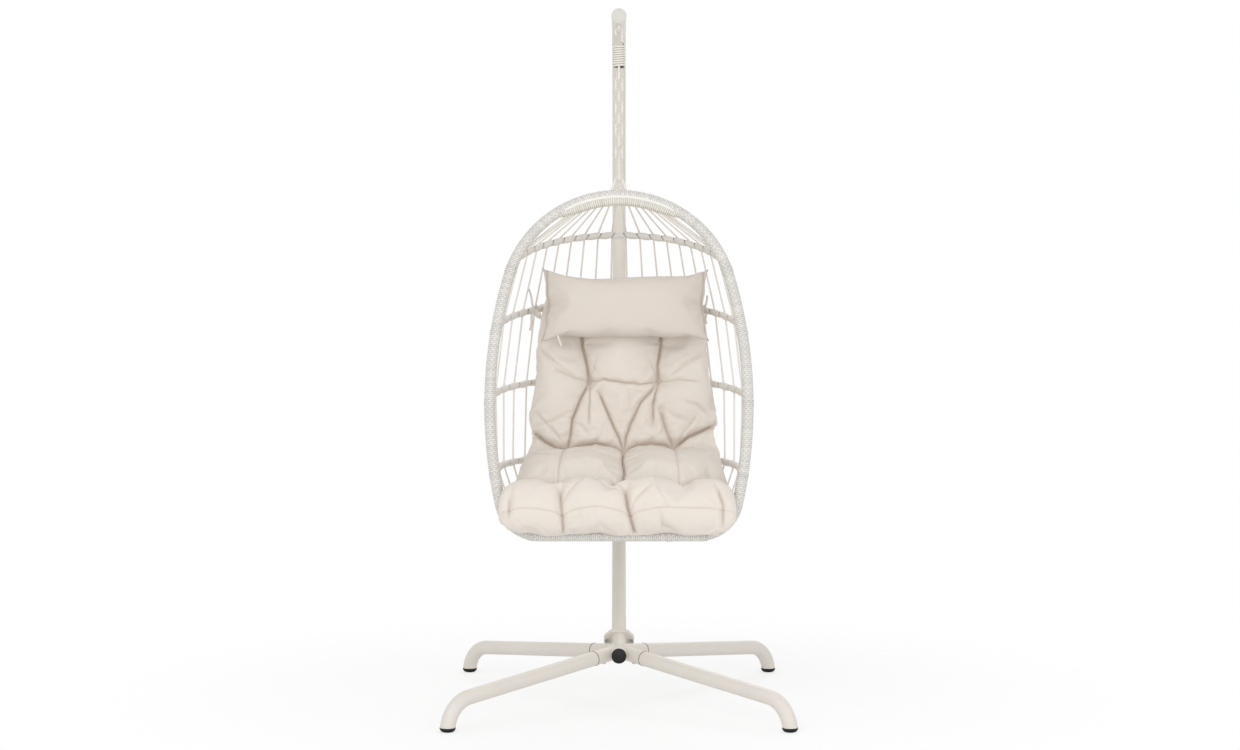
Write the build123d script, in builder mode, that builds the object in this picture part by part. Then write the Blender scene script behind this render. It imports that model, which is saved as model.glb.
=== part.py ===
from build123d import *
from math import atan, cos, radians, sin, sqrt, tan
import os

# A hanging egg chair: a woven steel basket with a cushion hangs by a chain and a spring from
# a curved post on four legs. Millimetres, +Z up, -Y is the side that a person sits down from.
# The origin is on the floor, in the middle of the stand's and the post's outline.

os.makedirs("parts", exist_ok=True)

# ---- Driving dimensions ----------------------------------------------------------------

# Clearances
play = 0.3                  # gap between two pieces that hang on or lie against each other
slip = 0.2                  # radial gap of a tube in a tube and of a screw in its hole

# Stand: hub, legs and feet
leg_od = 41.0
leg_wall = 2.0
hub_od = 44.0
hub_wall = 2.5
hub_height = 140.0          # hub axis above the floor
hub_front = 85.0            # from the stand's centre to the hub tube's front end
hub_bend_radius = 100.0
hub_bend_start = 4.0        # the bend starts this far in front of the centre
hub_rise = 31.0             # degrees, the way the post leaves the hub
hub_neck = 21.0             # straight neck between the hub's bend and its flange
leg_angle = 45.0            # degrees in plan
leg_slope = 5.7             # degrees below level
stub_length = 100.0
spigot_length = 62.0
leg_bend_start = 568.0      # radius in plan where a leg starts to bend down
leg_bend_radius = 85.0
leg_end_heading = 80.0      # degrees below level at the foot
foot_cap_height = 12.0
foot_cap_overhang = 1.0
foot_flat_radius = 11.0
foot_plug_height = 14.0
screw_radius = 3.0
screw_head_radius = 5.0
screw_head_height = 3.0
screw_length = 9.0
stub_screw_place = 62.0     # from the centre, along a leg
cap_lip = 5.0
cap_plug = 16.0
cap_dome = 5.0

# Flange between hub and post
flange_width = 86.0
flange_top = 24.0
flange_bottom = 24.0
flange_ear_drop = 4.0
flange_foot_half = 24.0
flange_corner = 9.0
flange_thick = 6.0
bolt_spacing = 67.0
bolt_rise = 8.0
bolt_radius = 4.0
bolt_head_radius = 6.5
bolt_head_height = 4.0
nut_radius = 7.0
nut_height = 6.5

# Post
post_od = 41.0
post_wall = 2.0
post_foot_run = 54.0        # straight tube above the flange
post_bend_radius = 1080.0
post_joint = 1185.0         # height where the upper post starts
post_spigot = 55.0
post_screw_drop = 26.0
arm_height = 1939.0
arm_bend_radius = 420.0
arm_reach = 60.0            # from the hanging point to the arm's front end

# Eye, spring, chain, snap hook, hanger
eye_rod = 8.0
eye_radius = 12.0
eye_bar_drop = 36.3         # the eye's bar below the arm's axis
spring_wire = 6.5
spring_od = 37.0
spring_turns = 9.25
spring_pitch = 6.56
spring_hook_radius = 8.5
spring_hang = 135.7         # from the eye's bar down to the chain's seat in the lower hook
spring_neck = 31.0          # the coils start this far above the chain's seat
spring_tail = 9.0
link_wire = 6.0
link_width = 24.0
link_pitch = 32.0
link_count = 7
snap_rod = 7.0
snap_inner_length = 61.0
snap_inner_width = 15.0
snap_gate_length = 36.0
snap_gate_rod = 5.0
snap_pin_radius = 1.2
hanger_rod = 8.0
hanger_bend = 12.0
hanger_spread = 18.5        # degrees, each leg from the vertical

# Basket
basket_drop = 43.8          # from the snap hook's seat down to the rim's centre line
rim_height = 942.0          # upright, on the centre line
rim_tilt = 13.7             # degrees, the rim leans back at the top
rim_swell = 37.5            # how much further out the rim's widest place is than its top arc
rim_top_radius = 322.0
rim_wide_height = 378.0     # along the rim, from its bottom to its widest place
rim_corner_radius = 111.0
rim_tube_od = 22.0
rim_tube_wall = 1.5
rim_wrap_od = 33.0
hoop_rod = 10.0
hoop_wrap_od = 19.0
hoop_end_rises = [729.5, 553.5, 360.5, 163.5, 48.5]     # hoop ends above the rim's bottom
hoop_backs = [240.0, 290.0, 312.0, 302.0, 190.0]        # how far behind the hanging point
hoop_rises = [102.0, 81.0, 50.0, 17.0, -32.0]           # how much higher a hoop is at its back
string_od = 5.0
string_count = 24
string_arch_half = 157.0    # the strings start this far to each side on the rim's top
string_margin = 0.035       # share of a hoop's length without strings, beside the rim
string_sink = 1.2           # how deep a knotted string end presses into a wrapped tube
seat_string_count = 13
seat_string_half = 215.0

# Cushion and pillow
cushion_side_gap = 59.5     # from the rim's widest place to the cushion's seat
cushion_back_half = 258.0
cushion_nose_half = 328.0
cushion_nose_reach = 56.0   # how far the nose stands in front of the rim's lower bar
cushion_nose_thick = 134.0
cushion_nose_drop = 13.0    # how far the nose hangs below the top of the lower bar
cushion_back_rise = 465.0   # from the crease up to the cushion's top
cushion_top_half = 190.0
seat_back_half = 190.0
nose_corner = 55.0
nose_gap = 2.0
cushion_crease_rise = 203.5 # from the rim's bottom up to the crease of seat and back
cushion_crease_y = 70.0
cushion_thick = 95.0
cushion_edge_thick = 45.0   # the back's thickness at its sides
cushion_back_lean = 10.0    # degrees
pillow_width = 442.0
pillow_height = 190.0
pillow_thick = 112.0
pillow_rise = 322.0         # from the crease up to the pillow's foot
pillow_corner = 30.0

# ---- Values that follow ----------------------------------------------------------------

hub_turn = radians(hub_rise)
neck_start_y = -hub_bend_start + hub_bend_radius * sin(hub_turn)
neck_start_z = hub_height + hub_bend_radius * (1 - cos(hub_turn))
flange_y = neck_start_y + hub_neck * cos(hub_turn)
flange_z = neck_start_z + hub_neck * sin(hub_turn)

post_start = flange_thick * 2
post_bend_y = flange_y + (post_start + post_foot_run) * cos(hub_turn)
post_bend_z = flange_z + (post_start + post_foot_run) * sin(hub_turn)
post_back = post_bend_y + post_bend_radius * (1 - sin(hub_turn))
post_upright_z = post_bend_z + post_bend_radius * cos(hub_turn)

slope = radians(leg_slope)
heading = radians(leg_end_heading)
leg_bend_z = hub_height - leg_bend_start * tan(slope)
leg_bend_end_r = leg_bend_start + leg_bend_radius * (sin(heading) - sin(slope))
leg_bend_end_z = leg_bend_z - leg_bend_radius * (cos(slope) - cos(heading))
foot_radius = leg_bend_end_r + (leg_bend_end_z - foot_cap_height) / tan(heading)
foot_offset = foot_radius * cos(radians(leg_angle))
foot_cap_radius = leg_od / 2 + foot_cap_overhang

front_reach = foot_offset + foot_cap_radius
back_reach = post_back + post_od / 2
hub_y = (front_reach - back_reach) / 2      # the hanging point and the hub's centre

side_plane = Plane(origin=(0, hub_y, 0), x_dir=(0, 1, 0), z_dir=(1, 0, 0))
front_plane = Plane(origin=(0, hub_y, 0), x_dir=(1, 0, 0), z_dir=(0, -1, 0))
flange_plane = Plane(
    origin=(0, hub_y + flange_y, flange_z),
    x_dir=(1, 0, 0),
    z_dir=(0, cos(hub_turn), sin(hub_turn)),
)


def dome_middle(front, radius, rise):
    """A point halfway up a round dome whose rim stands this far in front, on the side plane."""
    ball = (radius ** 2 + rise ** 2) / (2 * rise)
    return front - rise + ball - sqrt(ball ** 2 - radius ** 2 / 4)


def bar(path, radius):
    """A round bar along a line."""
    with BuildPart() as piece:
        with BuildSketch(Plane(origin=path @ 0, z_dir=path % 0)):
            Circle(radius)
        sweep(path=path, transition=Transition.ROUND)
    return piece.part


def pipe(path, radius, bore):
    """A round tube along a line."""
    with BuildPart() as piece:
        with BuildSketch(Plane(origin=path @ 0, z_dir=path % 0)):
            Circle(radius)
            Circle(bore, mode=Mode.SUBTRACT)
        sweep(path=path)
    return piece.part


def leg_plane(angle):
    """The upright plane of one leg: its x runs outward, its y up."""
    turn = radians(angle)
    return Plane(origin=(0, hub_y, 0), x_dir=(cos(turn), sin(turn), 0), z_dir=(sin(turn), -cos(turn), 0))


def leg_point(plane, along, below=0.0):
    """A point on a leg's axis, this far from the hub, or below it across the axis."""
    out = along * cos(slope) - below * sin(slope)
    up = hub_height - along * sin(slope) - below * cos(slope)
    return plane.from_local_coords(Vector(out, up, 0))


legs = {
    "front_left": 180 + leg_angle,
    "front_right": -leg_angle,
    "rear_left": 180 - leg_angle,
    "rear_right": leg_angle,
}

# ---- Hub -------------------------------------------------------------------------------

with BuildLine(side_plane) as hub_line:
    Line((-hub_front, hub_height), (-hub_bend_start, hub_height))
    JernArc((-hub_bend_start, hub_height), (1, 0), hub_bend_radius, hub_rise)
    Line((neck_start_y, neck_start_z), (flange_y, flange_z))

hub_outside = bar(hub_line.wire(), hub_od / 2)
hub_inside = bar(hub_line.wire(), hub_od / 2 - hub_wall)


def flange_sketch():
    """The outline of a flange plate: straight on top, tapered below, bolt holes in its ears."""
    half = flange_width / 2
    outline = [
        (-half, flange_top),
        (half, flange_top),
        (half, -flange_ear_drop),
        (flange_foot_half, -flange_bottom),
        (-flange_foot_half, -flange_bottom),
        (-half, -flange_ear_drop),
    ]
    with BuildSketch(flange_plane) as sketch:
        Polygon(*outline, align=None)
        fillet(sketch.vertices(), flange_corner)
        with Locations((-bolt_spacing / 2, bolt_rise), (bolt_spacing / 2, bolt_rise)):
            Circle(bolt_radius + slip, mode=Mode.SUBTRACT)
    return sketch.sketch


flange_outline = flange_sketch()

with BuildPart() as hub:
    add(hub_outside)
    add(extrude(flange_outline, flange_thick, dir=flange_plane.z_dir, mode=Mode.PRIVATE))
    for angle in legs.values():
        stub_dir = leg_point(leg_plane(angle), 1.0) - leg_point(leg_plane(angle), 0.0)
        with BuildSketch(Plane(origin=leg_point(leg_plane(angle), 0.0), z_dir=stub_dir)):
            Circle(leg_od / 2)
        extrude(amount=stub_length)
    add(hub_inside, mode=Mode.SUBTRACT)
    with BuildSketch(flange_plane):
        Circle(hub_od / 2 - hub_wall)
    extrude(amount=flange_thick, mode=Mode.SUBTRACT)
    for angle in legs.values():
        stub_dir = leg_point(leg_plane(angle), 1.0) - leg_point(leg_plane(angle), 0.0)
        with BuildSketch(Plane(origin=leg_point(leg_plane(angle), 0.0), z_dir=stub_dir)):
            Circle(leg_od / 2 - leg_wall)
        extrude(amount=stub_length, mode=Mode.SUBTRACT)
        down = leg_point(leg_plane(angle), 0.0, 1.0) - leg_point(leg_plane(angle), 0.0)
        with BuildSketch(Plane(origin=leg_point(leg_plane(angle), stub_screw_place), z_dir=down)):
            Circle(screw_radius + slip)
        extrude(amount=leg_od, mode=Mode.SUBTRACT)
hub.part.label = "hub"
export_step(hub.part, "parts/hub.step")

cap_radius = hub_od / 2 - 1.0
cap_plug_radius = hub_od / 2 - hub_wall - slip
with BuildPart() as hub_cap:
    with BuildSketch(side_plane):
        with BuildLine():
            apex = (-hub_front - cap_lip - cap_dome, hub_height)
            Polyline(
                apex,
                (-hub_front + cap_plug, hub_height),
                (-hub_front + cap_plug, hub_height + cap_plug_radius),
                (-hub_front, hub_height + cap_plug_radius),
                (-hub_front, hub_height + cap_radius),
                (-hub_front - cap_lip, hub_height + cap_radius),
            )
            ThreePointArc(
                (-hub_front - cap_lip, hub_height + cap_radius),
                (dome_middle(-hub_front - cap_lip, cap_radius, cap_dome), hub_height + cap_radius / 2),
                apex,
            )
        make_face()
    revolve(axis=Axis((0, hub_y, hub_height), (0, 1, 0)))
hub_cap.part.label = "hub_cap"
export_step(hub_cap.part, "parts/hub_cap.step")

# ---- Legs, feet and leg screws ---------------------------------------------------------

floor_cut = Plane.XY.offset(foot_cap_height)
for name, angle in legs.items():
    plane = leg_plane(angle)
    axis_dir = leg_point(plane, 1.0) - leg_point(plane, 0.0)
    down = leg_point(plane, 0.0, 1.0) - leg_point(plane, 0.0)
    with BuildLine(plane) as leg_line:
        start = (stub_length * cos(slope), hub_height - stub_length * sin(slope))
        bend_start = (leg_bend_start, leg_bend_z)
        bend_end = (leg_bend_end_r, leg_bend_end_z)
        run = foot_cap_height * 2 / tan(heading)
        Line(start, bend_start)
        JernArc(bend_start, (cos(slope), -sin(slope)), leg_bend_radius, leg_slope - leg_end_heading)
        Line(bend_end, (leg_bend_end_r + run, leg_bend_end_z - foot_cap_height * 2))
    leg_tube = pipe(leg_line.wire(), leg_od / 2, leg_od / 2 - leg_wall)
    with BuildPart() as leg:
        add(leg_tube)
        split(bisect_by=floor_cut, keep=Keep.TOP)
        spigot_radius = leg_od / 2 - leg_wall - slip
        with BuildSketch(Plane(origin=leg_point(plane, stub_length - spigot_length), z_dir=axis_dir)):
            Circle(spigot_radius)
            Circle(spigot_radius - leg_wall, mode=Mode.SUBTRACT)
        extrude(amount=spigot_length)
        with BuildSketch(Plane(origin=leg_point(plane, stub_length), z_dir=axis_dir)):
            Circle(leg_od / 2 - leg_wall)
            Circle(spigot_radius - leg_wall, mode=Mode.SUBTRACT)
        extrude(amount=leg_wall)
        with BuildSketch(Plane(origin=leg_point(plane, stub_screw_place), z_dir=down)):
            Circle(screw_radius + slip)
        extrude(amount=leg_od, mode=Mode.SUBTRACT)
    leg.part.label = f"leg_{name}"
    export_step(leg.part, f"parts/leg_{name}.step")

    foot = plane.from_local_coords(Vector(foot_radius, 0, 0))
    with BuildPart() as foot_cap:
        with BuildSketch(Plane(origin=foot, x_dir=(1, 0, 0), z_dir=(0, -1, 0))):
            with BuildLine():
                Line((0, 0), (foot_flat_radius, 0))
                ThreePointArc(
                    (foot_flat_radius, 0),
                    (foot_cap_radius * 0.86, foot_cap_height * 0.3),
                    (foot_cap_radius, foot_cap_height * 0.75),
                )
                plug_radius = leg_od / 2 - leg_wall - foot_plug_height / tan(heading) - 2 * slip
                Polyline(
                    (foot_cap_radius, foot_cap_height * 0.75),
                    (foot_cap_radius, foot_cap_height),
                    (plug_radius, foot_cap_height),
                    (plug_radius, foot_cap_height + foot_plug_height),
                    (0, foot_cap_height + foot_plug_height),
                    (0, 0),
                )
            make_face()
        revolve(axis=Axis(foot, (0, 0, 1)))
    foot_cap.part.label = f"foot_cap_{name}"
    export_step(foot_cap.part, f"parts/foot_cap_{name}.step")

with BuildPart() as leg_screws:
    for angle in legs.values():
        plane = leg_plane(angle)
        down = leg_point(plane, 0.0, 1.0) - leg_point(plane, 0.0)
        with BuildSketch(Plane(origin=leg_point(plane, stub_screw_place, leg_od / 2), z_dir=down)):
            Circle(screw_radius)
        extrude(amount=-screw_length)
        with BuildSketch(Plane(origin=leg_point(plane, stub_screw_place, leg_od / 2), z_dir=down)):
            Circle(screw_head_radius)
        extrude(amount=screw_head_height)
leg_screws.part.label = "leg_screws"
export_step(leg_screws.part, "parts/leg_screws.step")

# ---- Flange bolts and nuts -------------------------------------------------------------

bolt_places = [(-bolt_spacing / 2, bolt_rise), (bolt_spacing / 2, bolt_rise)]
with BuildPart() as flange_bolts:
    with BuildSketch(flange_plane):
        with Locations(*bolt_places):
            Circle(bolt_head_radius)
    extrude(amount=-bolt_head_height)
    with BuildSketch(flange_plane):
        with Locations(*bolt_places):
            Circle(bolt_radius)
    extrude(amount=2 * flange_thick + nut_height + 2)
flange_bolts.part.label = "flange_bolts"
export_step(flange_bolts.part, "parts/flange_bolts.step")

with BuildPart() as flange_nuts:
    with BuildSketch(flange_plane.offset(2 * flange_thick)):
        with Locations(*bolt_places):
            RegularPolygon(nut_radius, 6)
            Circle(bolt_radius + slip, mode=Mode.SUBTRACT)
    extrude(amount=nut_height)
flange_nuts.part.label = "flange_nuts"
export_step(flange_nuts.part, "parts/flange_nuts.step")

# ---- Post ------------------------------------------------------------------------------

post_inner = post_od / 2 - post_wall
post_spigot_radius = post_inner - slip
post_foot_y = flange_y + flange_thick * cos(hub_turn)
post_foot_z = flange_z + flange_thick * sin(hub_turn)
joint_hole_plane = front_plane.offset(-post_back - post_od)

with BuildLine(side_plane) as lower_line:
    Line((post_foot_y, post_foot_z), (post_bend_y, post_bend_z))
    JernArc((post_bend_y, post_bend_z), (cos(hub_turn), sin(hub_turn)), post_bend_radius, 90 - hub_rise)
    Line((post_back, post_upright_z), (post_back, post_joint))
lower_tube = pipe(lower_line.wire(), post_od / 2, post_inner)
post_flange = extrude(flange_outline, flange_thick, dir=flange_plane.z_dir, mode=Mode.PRIVATE)

with BuildPart() as post_lower:
    add(lower_tube)
    add(post_flange.moved(Location(flange_plane.z_dir * flange_thick)))
    with BuildSketch(flange_plane):
        Circle(post_inner)
    extrude(amount=2 * flange_thick, mode=Mode.SUBTRACT)
    with BuildSketch(joint_hole_plane):
        with Locations((0, post_joint - post_screw_drop)):
            Circle(screw_radius + slip)
    extrude(amount=2 * post_od, mode=Mode.SUBTRACT)
post_lower.part.label = "post_lower"
export_step(post_lower.part, "parts/post_lower.step")

arm_bend_z = arm_height - arm_bend_radius
with BuildLine(side_plane) as upper_line:
    Line((post_back, post_joint), (post_back, arm_bend_z))
    JernArc((post_back, arm_bend_z), (0, 1), arm_bend_radius, 90)
    Line((post_back - arm_bend_radius, arm_height), (-arm_reach, arm_height))
upper_tube = pipe(upper_line.wire(), post_od / 2, post_inner)

with BuildPart() as post_upper:
    add(upper_tube)
    with BuildSketch(Plane((0, hub_y + post_back, post_joint - post_spigot))):
        Circle(post_spigot_radius)
        Circle(post_spigot_radius - post_wall, mode=Mode.SUBTRACT)
    extrude(amount=post_spigot)
    with BuildSketch(Plane((0, hub_y + post_back, post_joint))):
        Circle(post_inner)
        Circle(post_spigot_radius - post_wall, mode=Mode.SUBTRACT)
    extrude(amount=post_wall)
    with BuildSketch(joint_hole_plane):
        with Locations((0, post_joint - post_screw_drop)):
            Circle(screw_radius + slip)
    extrude(amount=2 * post_od, mode=Mode.SUBTRACT)
post_upper.part.label = "post_upper"
export_step(post_upper.part, "parts/post_upper.step")

with BuildPart() as post_screws:
    for side in (-1, 1):
        seat = front_plane.offset(-post_back + side * post_od / 2)
        with BuildSketch(seat):
            with Locations((0, post_joint - post_screw_drop)):
                Circle(screw_radius)
        extrude(amount=-side * screw_length)
        with BuildSketch(seat):
            with Locations((0, post_joint - post_screw_drop)):
                Circle(screw_head_radius)
        extrude(amount=side * screw_head_height)
post_screws.part.label = "post_screws"
export_step(post_screws.part, "parts/post_screws.step")

arm_cap_radius = post_od / 2 + foot_cap_overhang
with BuildPart() as arm_cap:
    with BuildSketch(side_plane):
        with BuildLine():
            apex = (-arm_reach - cap_lip - cap_dome, arm_height)
            Polyline(
                apex,
                (-arm_reach + cap_plug, arm_height),
                (-arm_reach + cap_plug, arm_height + post_spigot_radius),
                (-arm_reach, arm_height + post_spigot_radius),
                (-arm_reach, arm_height + arm_cap_radius),
                (-arm_reach - cap_lip, arm_height + arm_cap_radius),
            )
            ThreePointArc(
                (-arm_reach - cap_lip, arm_height + arm_cap_radius),
                (dome_middle(-arm_reach - cap_lip, arm_cap_radius, cap_dome), arm_height + arm_cap_radius / 2),
                apex,
            )
        make_face()
    revolve(axis=Axis((0, hub_y, arm_height), (0, 1, 0)))
arm_cap.part.label = "arm_cap"
export_step(arm_cap.part, "parts/arm_cap.step")

# ---- Eye and spring --------------------------------------------------------------------

arm_solid = bar(Edge.make_line((0, hub_y - arm_reach, arm_height), (0, hub_y + arm_reach, arm_height)),
                post_od / 2)
eye_bar_height = arm_height - eye_bar_drop
eye_centre = eye_bar_height + eye_radius
with BuildLine(side_plane) as eye_line:
    Line((-eye_radius, arm_height - post_od / 2 + eye_rod), (-eye_radius, eye_centre))
    JernArc((-eye_radius, eye_centre), (0, -1), eye_radius, 180)
    Line((eye_radius, eye_centre), (eye_radius, arm_height - post_od / 2 + eye_rod))
eye_bar = bar(eye_line.wire(), eye_rod / 2)
with BuildPart() as arm_eye:
    add(eye_bar)
    add(arm_solid, mode=Mode.SUBTRACT)
arm_eye.part.label = "arm_eye"
export_step(arm_eye.part, "parts/arm_eye.step")

coil_radius = (spring_od - spring_wire) / 2
spring_hook_foot = eye_bar_height - spring_hang
spring_body_foot = spring_hook_foot + spring_neck
coil_foot = spring_body_foot + spring_wire / 2
coil_top = coil_foot + spring_turns * spring_pitch
hook_top_centre = eye_bar_height + (eye_rod + spring_wire) / 2 + play - spring_hook_radius
hook_foot_centre = spring_hook_foot - spring_wire / 2 + spring_hook_radius
neck = 2.2 * spring_wire

with BuildLine(Plane((0, hub_y, coil_foot)).rotated((0, 0, -90))) as coil_line:
    Helix(spring_pitch, spring_turns * spring_pitch, coil_radius)
with BuildLine(front_plane) as top_hook_line:
    Polyline(
        (coil_radius, coil_top),
        (spring_hook_radius, coil_top + neck),
        (spring_hook_radius, hook_top_centre),
    )
    JernArc((spring_hook_radius, hook_top_centre), (0, 1), spring_hook_radius, 180)
    Line((-spring_hook_radius, hook_top_centre), (-spring_hook_radius, hook_top_centre - spring_tail))
with BuildLine(side_plane) as foot_hook_line:
    Polyline(
        (-coil_radius, coil_foot),
        (-spring_hook_radius, coil_foot - neck),
        (-spring_hook_radius, hook_foot_centre),
    )
    JernArc((-spring_hook_radius, hook_foot_centre), (0, -1), spring_hook_radius, 180)
    Line((spring_hook_radius, hook_foot_centre), (spring_hook_radius, hook_foot_centre + spring_tail))
coil_bar = bar(coil_line.wire(), spring_wire / 2)
top_hook = bar(top_hook_line.wire(), spring_wire / 2)
foot_hook = bar(foot_hook_line.wire(), spring_wire / 2)

with BuildPart() as spring:
    add(coil_bar)
    with Locations((coil_radius, hub_y, coil_top), (0, hub_y - coil_radius, coil_foot)):
        Sphere(spring_wire / 2)
    add(top_hook)
    add(foot_hook)
spring.part.label = "spring"
export_step(spring.part, "parts/spring.step")

# ---- Chain, snap hook and hanger -------------------------------------------------------

link_radius = (link_width - link_wire) / 2


def link_seat(number):
    """Height of the top of the wire that link number + 1 hangs on."""
    return spring_hook_foot - number * link_pitch


def loop_line(plane, top, foot, radius):
    """A closed loop with round ends, given by the heights of its top and bottom centre lines."""
    with BuildLine(plane) as line:
        Line((radius, foot + radius), (radius, top - radius))
        JernArc((radius, top - radius), (0, 1), radius, 180)
        Line((-radius, top - radius), (-radius, foot + radius))
        JernArc((-radius, foot + radius), (0, -1), radius, 180)
    return line.wire()


for number in range(link_count):
    plane = front_plane if number % 2 == 0 else side_plane
    top = link_seat(number) + play + link_wire / 2
    foot = link_seat(number + 1) - link_wire / 2
    link_bar = bar(loop_line(plane, top, foot, link_radius), link_wire / 2)
    with BuildPart() as link:
        add(link_bar)
    link.part.label = f"chain_link_{number + 1}"
    export_step(link.part, f"parts/chain_link_{number + 1}.step")

snap_radius = (snap_inner_width + snap_rod) / 2
snap_top = link_seat(link_count) + play + snap_rod / 2
snap_seat = link_seat(link_count) + play - snap_inner_length
snap_foot = snap_seat - snap_rod / 2
gate_middle = (snap_top + snap_foot) / 2
gate_foot = gate_middle - snap_gate_length / 2
gate_top = gate_middle + snap_gate_length / 2
gate_tongue = 9.0
tongue_half = 1.2
pin_height = gate_foot + gate_tongue / 2

with BuildLine(side_plane) as snap_line:
    Line((-snap_radius, gate_top + play), (-snap_radius, snap_top - snap_radius))
    JernArc((-snap_radius, snap_top - snap_radius), (0, 1), snap_radius, -180)
    Line((snap_radius, snap_top - snap_radius), (snap_radius, snap_foot + snap_radius))
    JernArc((snap_radius, snap_foot + snap_radius), (0, -1), snap_radius, -180)
    Line((-snap_radius, snap_foot + snap_radius), (-snap_radius, gate_foot - play))
snap_bar = bar(snap_line.wire(), snap_rod / 2)
pin_plane = side_plane.offset(-snap_gate_rod / 2)
with BuildPart() as snap_hook:
    add(snap_bar)
    with BuildSketch(side_plane.offset(-tongue_half)):
        with Locations((-snap_radius, gate_foot - play + gate_tongue / 2)):
            Rectangle(snap_gate_rod, gate_tongue)
    extrude(amount=2 * tongue_half)
    with BuildSketch(pin_plane):
        with Locations((-snap_radius, pin_height)):
            Circle(snap_pin_radius)
    extrude(amount=snap_gate_rod)
snap_hook.part.label = "snap_hook"
export_step(snap_hook.part, "parts/snap_hook.step")

with BuildPart() as snap_gate:
    with BuildSketch(Plane((0, hub_y - snap_radius, gate_foot))):
        Circle(snap_gate_rod / 2)
    extrude(amount=snap_gate_length)
    with BuildSketch(side_plane.offset(-tongue_half - play)):
        with Locations((-snap_radius, pin_height)):
            Rectangle(2 * snap_gate_rod, gate_tongue + 4 * play)
    extrude(amount=2 * (tongue_half + play), mode=Mode.SUBTRACT)
    with BuildSketch(pin_plane):
        with Locations((-snap_radius, pin_height)):
            Circle(snap_pin_radius + slip / 4)
    extrude(amount=snap_gate_rod, mode=Mode.SUBTRACT)
snap_gate.part.label = "snap_gate"
export_step(snap_gate.part, "parts/snap_gate.step")

# ---- Rim -------------------------------------------------------------------------------

tilt = radians(rim_tilt)
rim_top = snap_seat - basket_drop
rim_bottom = rim_top - rim_height
rim_half_width = rim_top_radius + rim_swell
rim_length = rim_height / cos(tilt)
rim_foot_y = -rim_height * tan(tilt)
rim_plane = Plane(
    origin=(0, hub_y + rim_foot_y, rim_bottom),
    x_dir=(1, 0, 0),
    z_dir=(0, -cos(tilt), sin(tilt)),
)
top_centre = rim_length - rim_top_radius
join_angle = 2 * atan((rim_half_width - rim_top_radius) / (top_centre - rim_wide_height))
side_radius = rim_top_radius + (top_centre - rim_wide_height) / sin(join_angle)
side_centre = rim_half_width - side_radius
corner_x = side_centre + sqrt(
    (side_radius - rim_corner_radius) ** 2 - (rim_wide_height - rim_corner_radius) ** 2
)
join_x = rim_top_radius * cos(join_angle)
join_v = top_centre + rim_top_radius * sin(join_angle)
corner_turn = atan((rim_wide_height - rim_corner_radius) / (corner_x - side_centre))
low_x = corner_x + rim_corner_radius * cos(corner_turn)
low_v = rim_corner_radius - rim_corner_radius * sin(corner_turn)

with BuildLine(rim_plane) as rim_line:
    Line((-corner_x, 0), (corner_x, 0))
    mid_turn = (radians(90) + corner_turn) / 2
    ThreePointArc(
        (corner_x, 0),
        (corner_x + rim_corner_radius * cos(mid_turn), rim_corner_radius * (1 - sin(mid_turn))),
        (low_x, low_v),
    )
    ThreePointArc((low_x, low_v), (rim_half_width, rim_wide_height), (join_x, join_v))
    ThreePointArc((join_x, join_v), (0, rim_length), (-join_x, join_v))
    ThreePointArc((-join_x, join_v), (-rim_half_width, rim_wide_height), (-low_x, low_v))
    ThreePointArc(
        (-low_x, low_v),
        (-corner_x - rim_corner_radius * cos(mid_turn), rim_corner_radius * (1 - sin(mid_turn))),
        (-corner_x, 0),
    )
rim_path = rim_line.wire()
rim_core = bar(rim_path, rim_tube_od / 2)
rim_envelope = bar(rim_path, rim_wrap_od / 2)
rim_bore = bar(rim_path, rim_tube_od / 2 - rim_tube_wall)


def rim_half(v):
    """Half the rim's width at a distance v along it from its bottom, on the centre line."""
    if v > join_v:
        return sqrt(rim_top_radius ** 2 - (v - top_centre) ** 2)
    if v > low_v:
        return side_centre + sqrt(side_radius ** 2 - (v - rim_wide_height) ** 2)
    return corner_x + sqrt(rim_corner_radius ** 2 - (v - rim_corner_radius) ** 2)


# ---- Hanger ----------------------------------------------------------------------------

spread = radians(hanger_spread)
hanger_top = snap_seat + play + hanger_rod / 2
hanger_arc_z = hanger_top - hanger_bend
bend_x = hanger_bend * cos(spread)
bend_z = hanger_arc_z + hanger_bend * sin(spread)
hanger_foot_x = bend_x + (bend_z - rim_top) * tan(spread)

with BuildLine(front_plane) as hanger_line:
    Line((-hanger_foot_x, rim_top), (-bend_x, bend_z))
    ThreePointArc((-bend_x, bend_z), (0, hanger_top), (bend_x, bend_z))
    Line((bend_x, bend_z), (hanger_foot_x, rim_top))
hanger_bar = bar(hanger_line.wire(), hanger_rod / 2)

with BuildPart() as hanger:
    add(hanger_bar)
    add(rim_core, mode=Mode.SUBTRACT)
hanger_body = max(hanger.part.solids(), key=lambda solid: solid.volume)
hanger_body.label = "hanger"
export_step(hanger_body, "parts/hanger.step")

# ---- Hoops -----------------------------------------------------------------------------

hoop_ends = [rim_bottom + rise for rise in hoop_end_rises]
hoop_planes = []
hoop_paths = []
hoop_rods = []
for end_z, back_y, rise in zip(hoop_ends, hoop_backs, hoop_rises):
    half = rim_half((end_z - rim_bottom) / cos(tilt))
    end_y = -(rim_top - end_z) * tan(tilt)
    depth = sqrt((back_y - end_y) ** 2 + rise ** 2)
    plane = Plane(
        origin=(0, hub_y + end_y, end_z),
        x_dir=(1, 0, 0),
        z_dir=(0, -rise / depth, (back_y - end_y) / depth),
    )
    with BuildLine(plane) as hoop_line:
        Line((-half, 0), (-half, depth - half))
        JernArc((-half, depth - half), (0, 1), half, -180)
        Line((half, depth - half), (half, 0))
    hoop_planes.append(plane)
    hoop_paths.append(hoop_line.wire())
    hoop_rods.append(bar(hoop_line.wire(), hoop_rod / 2))

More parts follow.
